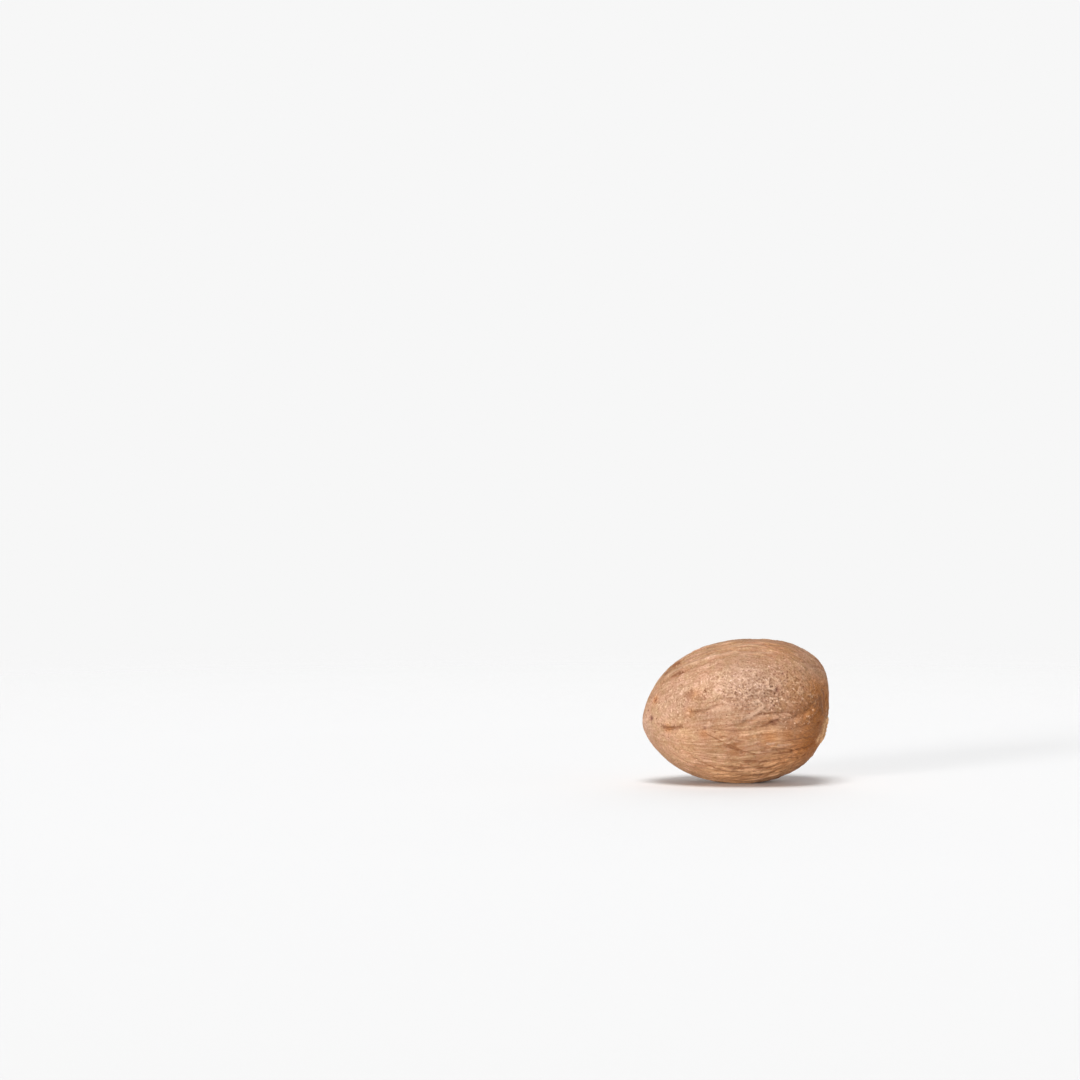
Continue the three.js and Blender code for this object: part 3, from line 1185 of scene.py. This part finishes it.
@dataclass(frozen=True)
class KernelFinish:
    """The dry seed coat: its colours, as linear shares of light, its patterns and its sheen. Some
    colours also stand for painted light and shade.
    """

    olive_tan: Colour = (0.425, 0.25, 0.134, 1)
    pink_tan: Colour = (0.49, 0.268, 0.168, 1)
    bloom: Colour = (0.45, 0.272, 0.188, 1)
    # Pale tan, also the colour of the painted light on the underside and the top.
    pale: Colour = (0.86, 0.5, 0.27, 1)
    # Darkens the dim patches, partly as painted shade.
    dimming: Colour = (0.72, 0.69, 0.66, 1)
    # Rust-brown, also the colour of painted warm shade.
    rust: Colour = (0.47, 0.16, 0.026, 1)
    crease: Colour = (0.33, 0.135, 0.055, 1)
    pit: Colour = (0.14, 0.05, 0.022, 1)
    # Pale ridge colour, also painted light on the ridges.
    deep: Colour = (0.2, 0.075, 0.03, 1)
    # Dark crease colour, also painted shade in one furrow.
    ridge: Colour = (0.7, 0.46, 0.32, 1)
    scurf: Colour = (0.84, 0.55, 0.37, 1)
    scar: Colour = (0.97, 0.57, 0.29, 1)
    spot: Colour = (0.16, 0.055, 0.038, 1)
    cloud: Noise = Noise(6 * MM, detail=2, seed=1)
    mottle: Noise = Noise(1 * MM, detail=4, seed=2, roughness=0.62)
    grain: Noise = Noise(0.3 * MM, detail=3, seed=3, roughness=0.7)
    wax: Noise = Noise(2.5 * MM, detail=3, seed=5)
    hue: Noise = Noise(1.3 * MM, detail=3, seed=8, roughness=0.6)
    smooth_dots: Dots = Dots(0.75 * MM, size=0.34, strength=0.5)
    scurf_dots: Dots = Dots(0.52 * MM, size=0.43, strength=1.0)
    rough_dots: Dots = Dots(0.6 * MM, size=0.37, strength=0.9)
    pits: Dots = Dots(0.74 * MM, size=0.42, strength=1.0)
    pores: Dots = Dots(1.5 * MM, size=0.15, strength=0.65)
    fleck_gain: float = 4.4
    rough_gain: float = 1.5
    stroke_waver: float = 0.025
    bump_depth: float = 0.09 * MM
    sheen: Step = Step(0.3, 0.7, 0.56, 0.74)
    specular: float = 0.2


class SeedCoat:
    """Lays the finish on the kernel, from the broad tones down to the specks, with painted light and
    shade among them.
    """

    HUE = Step(0.35, 0.65)
    BLOOM_SHARE = 0.8
    RUST_EDGE = Step(0.35, 0.65, 0.85, 1.0)
    WORN_SCAR = Step(0.32, 0.52, 0.65, 1.0)
    CLOUD = Step(0.35, 0.65, 0.92, 1.06)
    # Painted shade in the relief's hollows and painted light on its raised parts.
    SWELL = Step(0.1, 0.9, 0.85, 1.18)
    MOTTLE = Step(0.3, 0.7, 0.86, 1.14)
    STREAK = Step(0.32, 0.56, 0.68, 1.09)
    # Painted shade in the threads' grooves and painted light on the flats between them.
    CREST = Step(0.05, 0.16, 0.95, 1.07)
    FURROW = Step(0.15, 1.0, 0.0, 0.55)
    BROKEN = Step(0.3, 0.55, 0.6, 1.0)
    WRINKLE_WIDTH = 0.035
    THREAD_WIDTH = 0.045
    CREASE_SHARE = 0.75
    WAVER_SCALE = 9.0
    WAVER_DETAIL = 2.0
    WAVER_SEED = 4.0
    WORM_WIDTH = 0.05
    WORM_SHARE = 0.5
    PIT_SHARE = 0.4
    SPARSENESS = 1.5
    RED_POWER = 0.78
    BLUE_POWER = 1.28

    def __init__(self, finish: KernelFinish) -> None:
        """Starts the material with the patterns that several of its layers share.

        Args:
            finish: The material's colours, patterns and sheen.
        """
        self.finish = finish
        self.material = bpy.data.materials.new("nutmeg_seed_coat")
        self.material.use_nodes = True
        self.bench = NodeBench(self.material.node_tree)
        self.spot = self.bench.node("ShaderNodeTexCoord").outputs["Object"]
        self.bearing = self.attribute(Mark.BEARING)["Vector"]
        self.lined = self.mark(Mark.LINED)
        self.rough = self.mark(Mark.ROUGH)
        self.mottle = finish.mottle.build(self.bench, self.spot)
        self.grain = finish.grain.build(self.bench, self.spot)
        self.thread = THREADS.build(self.bench, self.bearing, PATTERN_SEED)
        self.streak = STREAKS.build(self.bench, self.bearing, PATTERN_SEED)
        self.broken = self.bench.ramp(self.mottle, self.BROKEN)

    def build(self) -> bpy.types.Material:
        """Adds the layers and the shader.

        Returns:
            The material, which reads the kernel's attributes and object coordinates.
        """
        colour = self.grained(self.tones())
        colour = self.specked(self.stroked(self.creased(colour)))
        wax = self.finish.wax.build(self.bench, self.spot)
        inputs = {
            "Base Color": self.bench.tinted(self.mark(Mark.SPOT), colour, self.finish.spot),
            "Roughness": self.bench.ramp(wax, self.finish.sheen),
            "Specular IOR Level": self.finish.specular,
            "Normal": self.bump(),
        }
        shader = self.bench.node("ShaderNodeBsdfPrincipled", inputs)
        self.bench.node("ShaderNodeOutputMaterial", {"Surface": shader.outputs[0]})
        return self.material

    def attribute(self, mark: Mark) -> bpy.types.NodeOutputs:
        """The outputs of a node that reads one of the mesh's attributes."""
        return self.bench.node("ShaderNodeAttribute", attribute_name=mark.value).outputs

    def mark(self, mark: Mark) -> Socket:
        """Reads one of the mesh's attributes as a number."""
        return self.attribute(mark)["Fac"]

    def tones(self) -> Socket:
        """Adds the broad tones, the patches of each hue, and the painted shade and light that follow
        the relief.

        Returns:
            The colour.
        """
        bench, finish = self.bench, self.finish
        hue = bench.ramp(finish.hue.build(bench, self.spot), self.HUE)
        bloom = bench.product(self.mark(Mark.BLOOM), self.BLOOM_SHARE)
        rust = bench.product(self.mark(Mark.RUST), bench.ramp(self.mottle, self.RUST_EDGE))
        scar = bench.product(self.mark(Mark.SCAR), bench.ramp(self.mottle, self.WORN_SCAR))
        colour = bench.tinted(hue, finish.olive_tan, finish.pink_tan)
        colour = bench.tinted(bloom, colour, finish.bloom)
        # Pale tan, and painted light on the underside and the top.
        colour = bench.tinted(self.mark(Mark.PALE), colour, finish.pale)
        # Rust-brown patches, partly painted warm shade on the broad end and the lower right.
        colour = bench.tinted(rust, colour, finish.rust)
        # Darker in the dim patches, partly painted shade on the broad end.
        colour = bench.tinted(self.mark(Mark.DIM), colour, finish.dimming, blend="MULTIPLY")
        colour = bench.tinted(scar, colour, finish.scar)
        colour = self.shaded(colour, bench.ramp(finish.cloud.build(bench, self.spot), self.CLOUD))
        # Painted shade in the relief's hollows and painted light on its raised parts.
        return self.shaded(colour, bench.ramp(self.mark(Mark.SWELL), self.SWELL))

    def grained(self, colour: Socket) -> Socket:
        """Adds the grain: spotted on the smooth side, drawn out along the kernel elsewhere, where it
        also paints shade in the threads' grooves.

        Args:
            colour: The colour under it.

        Returns:
            The colour with its grain.
        """
        bench, fleck_gain = self.bench, self.finish.fleck_gain
        gain = bench.math("ADD", bench.product(self.rough, self.finish.rough_gain), fleck_gain)
        spotted = self.shaded(colour, bench.ramp(self.mottle, self.MOTTLE))
        spotted = self.shaded(spotted, self.flecks(gain))
        streaked = self.shaded(colour, bench.ramp(self.streak, self.STREAK))
        streaked = self.shaded(streaked, self.flecks(fleck_gain / 2))
        # Painted shade in the threads' grooves and painted light on the flats between them.
        streaked = self.shaded(streaked, bench.ramp(bench.off_middle(self.thread), self.CREST))
        return bench.tinted(self.lined, spotted, streaked)

    def flecks(self, gain: Any) -> Socket:
        """Turns the grain into flecks: calm in most places, with a few strong spots.

        Args:
            gain: How strong the spots are.

        Returns:
            The share of light that each place keeps, around 1.
        """
        bench = self.bench
        offset = bench.product(bench.centred(self.grain), gain)
        weight = bench.product(bench.math("ABSOLUTE", offset), self.SPARSENESS)
        return bench.math("ADD", bench.product(offset, weight), 1.0)

    def shaded(self, colour: Socket, share: Socket) -> Socket:
        """Makes a colour lighter and dustier, or darker and warmer.

        Args:
            colour: The colour to change.
            share: The share of light that it keeps, around 1.

        Returns:
            The new colour.
        """
        red = self.bench.math("POWER", share, self.RED_POWER)
        blue = self.bench.math("POWER", share, self.BLUE_POWER)
        tint = self.bench.node("ShaderNodeCombineColor", {0: red, 1: share, 2: blue}).outputs[0]
        return self.bench.tinted(1.0, colour, tint, blend="MULTIPLY")

    def creased(self, colour: Socket) -> Socket:
        """Adds the furrows, the wrinkles and the threads.

        Args:
            colour: The colour under them.

        Returns:
            The colour with them.
        """
        bench, tint = self.bench, self.finish.crease
        # The crease colour of the furrows and cracks, and painted shade in the hilum's moat.
        colour = bench.tinted(bench.ramp(self.mark(Mark.FURROW), self.FURROW), colour, tint)
        wrinkle = WRINKLES.build(bench, self.bearing, PATTERN_SEED)
        wrinkle = bench.product(bench.line(wrinkle, self.WRINKLE_WIDTH), self.mark(Mark.CREASE))
        thread = bench.product(bench.line(self.thread, self.THREAD_WIDTH), self.lined)
        crease = bench.math("MAXIMUM", wrinkle, thread)
        return bench.tinted(bench.product(crease, self.broken, self.CREASE_SHARE), colour, tint)

    def stroked(self, colour: Socket) -> Socket:
        """Adds the dark and the pale strokes, a little wavering and broken. Some are painted shade in
        a furrow or painted light on ridges.

        Args:
            colour: The colour under them.

        Returns:
            The colour with them.
        """
        bench, finish = self.bench, self.finish
        waver = (self.WAVER_SCALE, self.WAVER_DETAIL, self.WAVER_SEED, finish.stroke_waver)
        wavering = bench.strayed(self.bearing, *waver)
        # Dark creases with some painted shade, then pale ridges with some painted light.
        for strokes, tint in ((DARK_STROKES, finish.deep), (PALE_AND_LIT_STROKES, finish.ridge)):
            drawn: Any = 0.0
            for stroke in strokes:
                drawn = bench.math("MAXIMUM", drawn, stroke.build(bench, wavering))
            colour = bench.tinted(bench.product(drawn, self.broken), colour, tint)
        return colour

    def specked(self, colour: Socket) -> Socket:
        """Adds the worm-like ridges, the pale dots and scurf, and the dark pits and pores.

        Args:
            colour: The colour under them.

        Returns:
            The colour with them.
        """
        bench, finish, spot = self.bench, self.finish, self.spot
        smooth = bench.math("SUBTRACT", 1.0, self.lined)
        worm = bench.noise(spot, 1 / WORM_SIZE, 1.0, PATTERN_SEED).outputs[0]
        worm = bench.product(bench.line(worm, self.WORM_WIDTH), bench.product(self.rough, smooth))
        colour = bench.tinted(bench.product(worm, self.WORM_SHARE), colour, finish.scurf)
        for dots, share, tint in (
            (finish.smooth_dots, smooth, finish.scurf),
            (finish.scurf_dots, self.mark(Mark.SCURF), finish.scurf),
            (finish.rough_dots, self.rough, finish.scurf),
            (finish.pits, self.rough, finish.pit),
        ):
            colour = bench.tinted(bench.product(dots.build(bench, spot), share), colour, tint)
        pit = bench.product(self.mark(Mark.PIT), self.PIT_SHARE)
        colour = bench.tinted(pit, colour, finish.pit)
        return bench.tinted(finish.pores.build(bench, spot), colour, finish.pit)

    def bump(self) -> Socket:
        """Adds the grain and the streaks that are too fine for the mesh.

        Returns:
            The surface's normal.
        """
        height = self.bench.math("ADD", self.grain, self.bench.product(self.streak, self.lined))
        inputs = {"Strength": 1.0, "Distance": self.finish.bump_depth, "Height": height}
        return self.bench.node("ShaderNodeBump", inputs).outputs[0]


@dataclass(frozen=True)
class Scar:
    """What the hilum gives each place.

    The height is in metres, sunk is a share of a full furrow's depth, which the finish paints in the
    crease colour and in the moat as painted shade, and pale is a share of the scar's colour.
    """

    height: np.ndarray
    sunk: np.ndarray
    pale: np.ndarray


@dataclass(frozen=True)
class Hilum:
    """The round scar: a raised, cracked rim round a hollow, a moat, and creases running in.

    Each wave of the rim's outline is its turns, its phase and its share. A drift, which draws the
    cracks or the creases together and apart, is its reach and its turns.
    """

    place: Place = (0.86, -66)
    radius: float = 1.8 * MM
    waver: float = 0.09
    rim_height: float = 0.37 * MM
    rim_width: float = 0.52 * MM
    rim_tone: tuple[float, float] = (1.4, 0.15)
    hollow_depth: float = 0.42 * MM
    floor_tone: float = 0.45
    moat_depth: float = 0.16 * MM
    # Painted shade in the moat round the rim.
    moat_shade: float = 0.5
    cracks: int = 13
    crack_depth: float = 0.05 * MM
    crack_tone: float = 0.6
    crack_ring: float = 0.7
    crack_power: int = 3
    creases: int = 11
    crease_depth: float = 0.11 * MM
    crease_ring: float = 3.4 * MM
    crease_reach: float = 1.5 * MM
    chip_place: Place = (0.77, -52)
    chip_radius: float = 0.8 * MM
    chip_tone: tuple[float, float] = (1.7, 0.3)

    OUTLINE_WAVES = ((3, 0, 1.0), (5, 1, 0.6))
    CRACK_DRIFT = (3, 2)
    CREASE_DRIFT = (2, 3)

    def build(self, form: KernelForm, places: Places) -> Scar:
        """Works out the scar.

        Args:
            form: The smooth kernel.
            places: The places to look at.

        Returns:
            What the hilum gives each of them.
        """
        offsets = form.offsets(places, self.place)
        distance = np.linalg.norm(offsets, axis=1)
        angle = np.arctan2(offsets[:, 2], offsets[:, 1])
        rim = bell(distance - self.outline(angle), self.rim_width)
        inside = 0.5 - 0.5 * np.tanh((distance - self.radius) / (self.rim_width / 2))
        moat = bell(distance - self.radius - self.rim_width, self.rim_width)
        crack = self.rays(angle, self.cracks, *self.CRACK_DRIFT)
        crease = self.rays(angle, self.creases, *self.CREASE_DRIFT)
        crease *= bell(distance - self.crease_ring, self.crease_reach)
        hollow = bell(distance, self.radius / 2)
        height = self.rim_height * rim - self.hollow_depth * hollow - self.crease_depth * crease
        height -= self.crack_depth * (crack * inside) * np.minimum(distance / self.radius, 1)
        height -= self.moat_depth * moat
        near = bell(distance - self.crack_ring * self.radius, self.radius / 2)
        cracked = self.crack_tone * np.maximum(crack, 0) ** self.crack_power * near
        # The moat gets painted shade and the cracks the crease colour.
        sunk = np.maximum(cracked, self.moat_shade * moat * (1 - inside))
        chip = bell(form.distances(places, self.chip_place), self.chip_radius)
        pale = np.maximum(self.toned(rim, self.rim_tone), self.floor_tone * inside)
        pale = np.maximum(pale, self.toned(chip, self.chip_tone))
        return Scar(height, sunk, np.clip(pale, 0, 1))

    def outline(self, angle: np.ndarray) -> np.ndarray:
        """The radius of the rim's uneven ring at each angle."""
        waver = sum(share * np.sin(turns * angle + at) for turns, at, share in self.OUTLINE_WAVES)
        return self.radius * (1 + self.waver * waver)

    @staticmethod
    def rays(angle: np.ndarray, count: int, drift: float, turns: int) -> np.ndarray:
        """Waves round the scar, drawn together and apart by a drift."""
        return np.cos(count * angle + drift * np.sin(turns * angle))

    @staticmethod
    def toned(share: np.ndarray, tone: tuple[float, float]) -> np.ndarray:
        """A share with more contrast: raised by a gain and lowered by a loss."""
        return tone[0] * share - tone[1]


@dataclass(frozen=True)
class SmoothParts:
    """The smooth side, which faces -Y, and the two ends. Fine lines mark them least."""

    longitude: float = 28
    reach: float = 38
    share: float = 0.8
    narrow_end_reach: float = 0.55
    narrow_end_share: float = 0.7
    broad_end_reach: float = 0.32
    broad_end_share: float = 0.5

    def lined(self, places: Places) -> np.ndarray:
        """How strongly fine lines mark each place.

        Args:
            places: The places to look at.

        Returns:
            A share for each place.
        """
        side = self.share * bell(turn_from(places.longitudes, self.longitude), self.reach)
        narrow_end = self.narrow_end_share * bell(places.stations + 1, self.narrow_end_reach)
        broad_end = self.broad_end_share * bell(places.stations - 1, self.broad_end_reach)
        return (1 - side) * (1 - narrow_end) * (1 - broad_end)


@dataclass(frozen=True)
class Kernel:
    """The whole nutmeg: one closed, furrowed kernel."""

    form: KernelForm = field(default_factory=KernelForm)
    hilum: Hilum = field(default_factory=Hilum)
    smooth_parts: SmoothParts = field(default_factory=SmoothParts)
    finish: KernelFinish = field(default_factory=KernelFinish)
    wrinkles: WrinkleSizes = field(default_factory=WrinkleSizes)
    cells_across: int = 124
    sink: float = 0.04 * MM
    full_furrow: float = 0.4 * MM
    furrow_tones: tuple[tuple[float, float], ...] = ((0.35, 0.9), (0.65, 0.45))
    crack_share: float = 0.3
    crack_width: float = 0.3

    NAME = "nutmeg_kernel"
    MERGE_DIGITS = 6

    def directions(self) -> tuple[np.ndarray, np.ndarray]:
        """A unit ball of evenly sized quads: a cube's six faces, blown up.

        Returns:
            The vertices' unit directions, and four vertex numbers for each quad.
        """
        steps = np.tan(np.linspace(-math.pi / 4, math.pi / 4, self.cells_across + 1))
        across, up = np.meshgrid(steps, steps, indexing="ij")
        out = np.ones_like(across)
        number = np.arange(across.size).reshape(across.shape)
        corners = (number[:-1, :-1], number[1:, :-1], number[1:, 1:], number[:-1, 1:])
        quad = np.stack(corners, axis=-1).reshape(-1, 4)
        points, quads = [], []
        for axis in range(3):
            for side in (1, -1):
                face = np.roll(np.stack([side * out, side * across, up], axis=-1), axis, axis=-1)
                quads.append(quad + len(points) * across.size)
                points.append(face.reshape(-1, 3))
        cube = np.concatenate(points)
        keys = np.round(cube, self.MERGE_DIGITS)
        _, first, merged = np.unique(keys, axis=0, return_index=True, return_inverse=True)
        vertices = cube[first]
        vertices /= np.linalg.norm(vertices, axis=1, keepdims=True)
        return vertices, merged.ravel()[np.concatenate(quads)]

    @staticmethod
    def furrows() -> list[Furrow]:
        """Every furrow, crease and ridge of the kernel."""
        ruled = [furrow for lanes in RULED_LANES for furrow in lanes.furrows()]
        return [*FRONT_FURROWS, *FRONT_CREASES, *ruled]

    def relief(self, places: Places) -> tuple[np.ndarray, np.ndarray]:
        """Height of the relief over the smooth kernel, and how deep in a furrow each place is.

        Args:
            places: The places to look at.

        Returns:
            The height in metres, and the depth as a share of a full furrow.
        """
        height = self.form.swell_height(places.directions) - self.sink
        sunk = np.zeros_like(height)
        for furrow in self.furrows():
            across, full = furrow.shares(places)
            hollow = (1 - across**2) * bell(across, 1)
            if furrow.depth > 0:
                hollow += self.crack_share * bell(across, self.crack_width)
            height -= furrow.depth * MM * full * hollow
            line = full * min(1, max(0, furrow.depth * MM / self.full_furrow))
            tone = sum(share * bell(across, reach) for share, reach in self.furrow_tones)
            sunk = np.maximum(sunk, line * tone)
        for knob in KNOBS:
            distance = self.form.distances(places, (knob.station, knob.longitude))
            height += knob.height * MM * bell(distance, knob.radius * MM)
        return height, sunk

    def patched(self, places: Places, mark: Mark) -> np.ndarray:
        """Lays one of the marks on the kernel in its patches.

        Args:
            places: The places to look at.
            mark: The mark.

        Returns:
            The mark's share at each place.
        """
        total = np.zeros_like(places.stations)
        for patch in PATCHES[mark]:
            distance = self.form.distances(places, (patch.station, patch.longitude))
            total = np.maximum(total, patch.strength * bell(distance, patch.radius * MM))
        return total

    def mesh(self) -> bpy.types.Mesh:
        """The kernel's mesh with its furrows and the attributes that the finish reads.

        Returns:
            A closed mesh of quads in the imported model's frame.
        """
        directions, quads = self.directions()
        places = self.form.places(directions)
        height, sunk = self.relief(places)
        scar = self.hilum.build(self.form, places)
        raised = self.form.outward(directions) * (height + scar.height)[:, None]
        mesh = bpy.data.meshes.new(self.NAME)
        mesh.from_pydata(self.form.rest(places.points + raised).tolist(), [], quads.tolist())
        bearing = mesh.attributes.new(Mark.BEARING.value, "FLOAT_VECTOR", "POINT")
        bearing.data.foreach_set("vector", directions.ravel())
        # Furrows and cracks, and the painted shade of the hilum's moat.
        self.add_mark(mesh, Mark.FURROW, np.maximum(sunk, scar.sunk))
        self.add_mark(mesh, Mark.SCAR, scar.pale)
        self.add_mark(mesh, Mark.LINED, self.smooth_parts.lined(places))
        for mark in PATCHES:
            self.add_mark(mesh, mark, self.patched(places, mark))
        return mesh

    @staticmethod
    def add_mark(mesh: bpy.types.Mesh, mark: Mark, values: np.ndarray) -> None:
        """Stores a mark's values on the mesh."""
        attribute = mesh.attributes.new(mark.value, "FLOAT", "POINT")
        attribute.data.foreach_set("value", values.astype(np.float32))

    def build(self) -> bpy.types.Object:
        """Makes the kernel, dresses it and hands it to the frame.

        Returns:
            The finished piece.
        """
        piece = bpy.data.objects.new(self.NAME, self.mesh())
        bpy.context.scene.collection.objects.link(piece)
        WrinkleTree(self.wrinkles).apply(piece, SeedCoat(self.finish).build())
        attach(piece, ROOT_BODY)
        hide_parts(KERNEL_NODE)
        return piece


@dataclass(frozen=True)
class Viewpoint:
    """Where the camera stands for the nutmeg's place and size in a square picture.

    The picture's width, the focal length, the rows and the column are in pixels. The sensor's
    width is in millimetres.
    """

    picture: float = 1080.0
    focal: float = 3800.0
    horizon_row: float = 440.0
    kernel_column: float = 735.9
    rest_row: float = 782.9
    distance: float = 603.8 * MM
    sensor: float = 36.0
    nearest: float = 10 * MM
    farthest: float = 20.0

    def build(self) -> None:
        """Makes the scene's camera, level with the horizon row and facing +Y."""
        data = bpy.data.cameras.new("camera")
        data.sensor_width = self.sensor
        data.lens = self.focal / self.picture * self.sensor
        data.clip_start = self.nearest
        data.clip_end = self.farthest
        camera = bpy.data.objects.new("camera", data)
        middle = self.picture / 2
        aside = (self.kernel_column - middle) / self.focal * self.distance
        height = (self.rest_row - self.horizon_row) / self.focal * self.distance
        camera.location = (-aside, -self.distance, height)
        pitch = math.atan((middle - self.horizon_row) / self.focal)
        camera.rotation_euler = (math.pi / 2 - pitch, 0, 0)
        bpy.context.scene.collection.objects.link(camera)
        bpy.context.scene.camera = camera


@dataclass(frozen=True)
class SoftSun:
    """A wide, even light from far away. Angles are in degrees; 0 is the front, -90 the left."""

    name: str
    azimuth: float
    elevation: float
    width: float
    strength: float

    def build(self) -> None:
        """Makes the light."""
        data = bpy.data.lights.new(self.name, "SUN")
        data.energy = self.strength
        data.angle = math.radians(self.width)
        light = bpy.data.objects.new(self.name, data)
        light.rotation_euler = (math.radians(90 - self.elevation), 0, math.radians(self.azimuth))
        bpy.context.scene.collection.objects.link(light)


@dataclass(frozen=True)
class Studio:
    """The pale floor, which fades into the pale surroundings, and the soft light."""

    backdrop: Colour = (0.93, 0.93, 0.93, 1)
    fill: Colour = (0.14, 0.14, 0.1428, 1)
    floor_tone: Colour = (0.9, 0.9, 0.9, 1)
    floor_roughness: float = 0.9
    floor_specular: float = 0.1
    floor_half: float = 0.6
    fade: Step = Step(0.12, 0.42)
    suns: tuple[SoftSun, ...] = (
        SoftSun("overhead", azimuth=-20, elevation=75, width=30, strength=2.05),
        SoftSun("front_left", azimuth=-38, elevation=6, width=18, strength=2.95),
        SoftSun("back_fill", azimuth=168, elevation=28, width=70, strength=1.1),
        SoftSun("right_fill", azimuth=80, elevation=12, width=60, strength=0.35),
    )

    def build(self) -> None:
        """Makes the surroundings, the lights and the floor."""
        self.surround()
        for sun in self.suns:
            sun.build()
        self.floor()
        bpy.context.scene.view_settings.view_transform = "Standard"

    def surround(self) -> None:
        """Makes surroundings that are pale to the eye, and dimmer as a light."""
        world = bpy.data.worlds.new("surroundings")
        world.use_nodes = True
        bench = NodeBench(world.node_tree)
        seen = bench.node("ShaderNodeLightPath").outputs["Is Camera Ray"]
        inputs = {"Color": bench.tinted(seen, self.fill, self.backdrop), "Strength": 1.0}
        light = bench.node("ShaderNodeBackground", inputs)
        bench.node("ShaderNodeOutputWorld", {"Surface": light.outputs[0]})
        bpy.context.scene.world = world

    def floor(self) -> bpy.types.Object:
        """The floor: a square sheet under the kernel that fades out in a ring.

        Returns:
            The floor's object.
        """
        half = self.floor_half
        mesh = bpy.data.meshes.new("floor")
        corners = [(-half, -half, 0), (half, -half, 0), (half, half, 0), (-half, half, 0)]
        mesh.from_pydata(corners, [], [(0, 1, 2, 3)])
        mesh.materials.append(self.floor_material())
        floor = bpy.data.objects.new("floor", mesh)
        bpy.context.scene.collection.objects.link(floor)
        return floor

    def floor_material(self) -> bpy.types.Material:
        """A matt white that turns clear towards its edge.

        Returns:
            The material.
        """
        material = bpy.data.materials.new("pale_floor")
        material.use_nodes = True
        bench = NodeBench(material.node_tree)
        place = bench.node("ShaderNodeTexCoord").outputs["Object"]
        length = bench.node("ShaderNodeVectorMath", {0: place}, operation="LENGTH").outputs["Value"]
        inputs = {
            "Base Color": self.floor_tone,
            "Roughness": self.floor_roughness,
            "Specular IOR Level": self.floor_specular,
        }
        matt = bench.node("ShaderNodeBsdfPrincipled", inputs).outputs[0]
        clear = bench.node("ShaderNodeBsdfTransparent").outputs[0]
        inputs = {0: bench.ramp(length, self.fade), 1: matt, 2: clear}
        mixed = bench.node("ShaderNodeMixShader", inputs).outputs[0]
        bench.node("ShaderNodeOutputMaterial", {"Surface": mixed})
        return material


def main() -> None:
    """Builds the camera, the studio and the nutmeg."""
    logging.basicConfig(level=logging.INFO, format="%(name)s: %(message)s")
    Viewpoint().build()
    Studio().build()
    piece = Kernel().build()
    LOG.info("%s: %d faces", piece.name, len(piece.data.polygons))


if __name__ == "__main__":
    main()
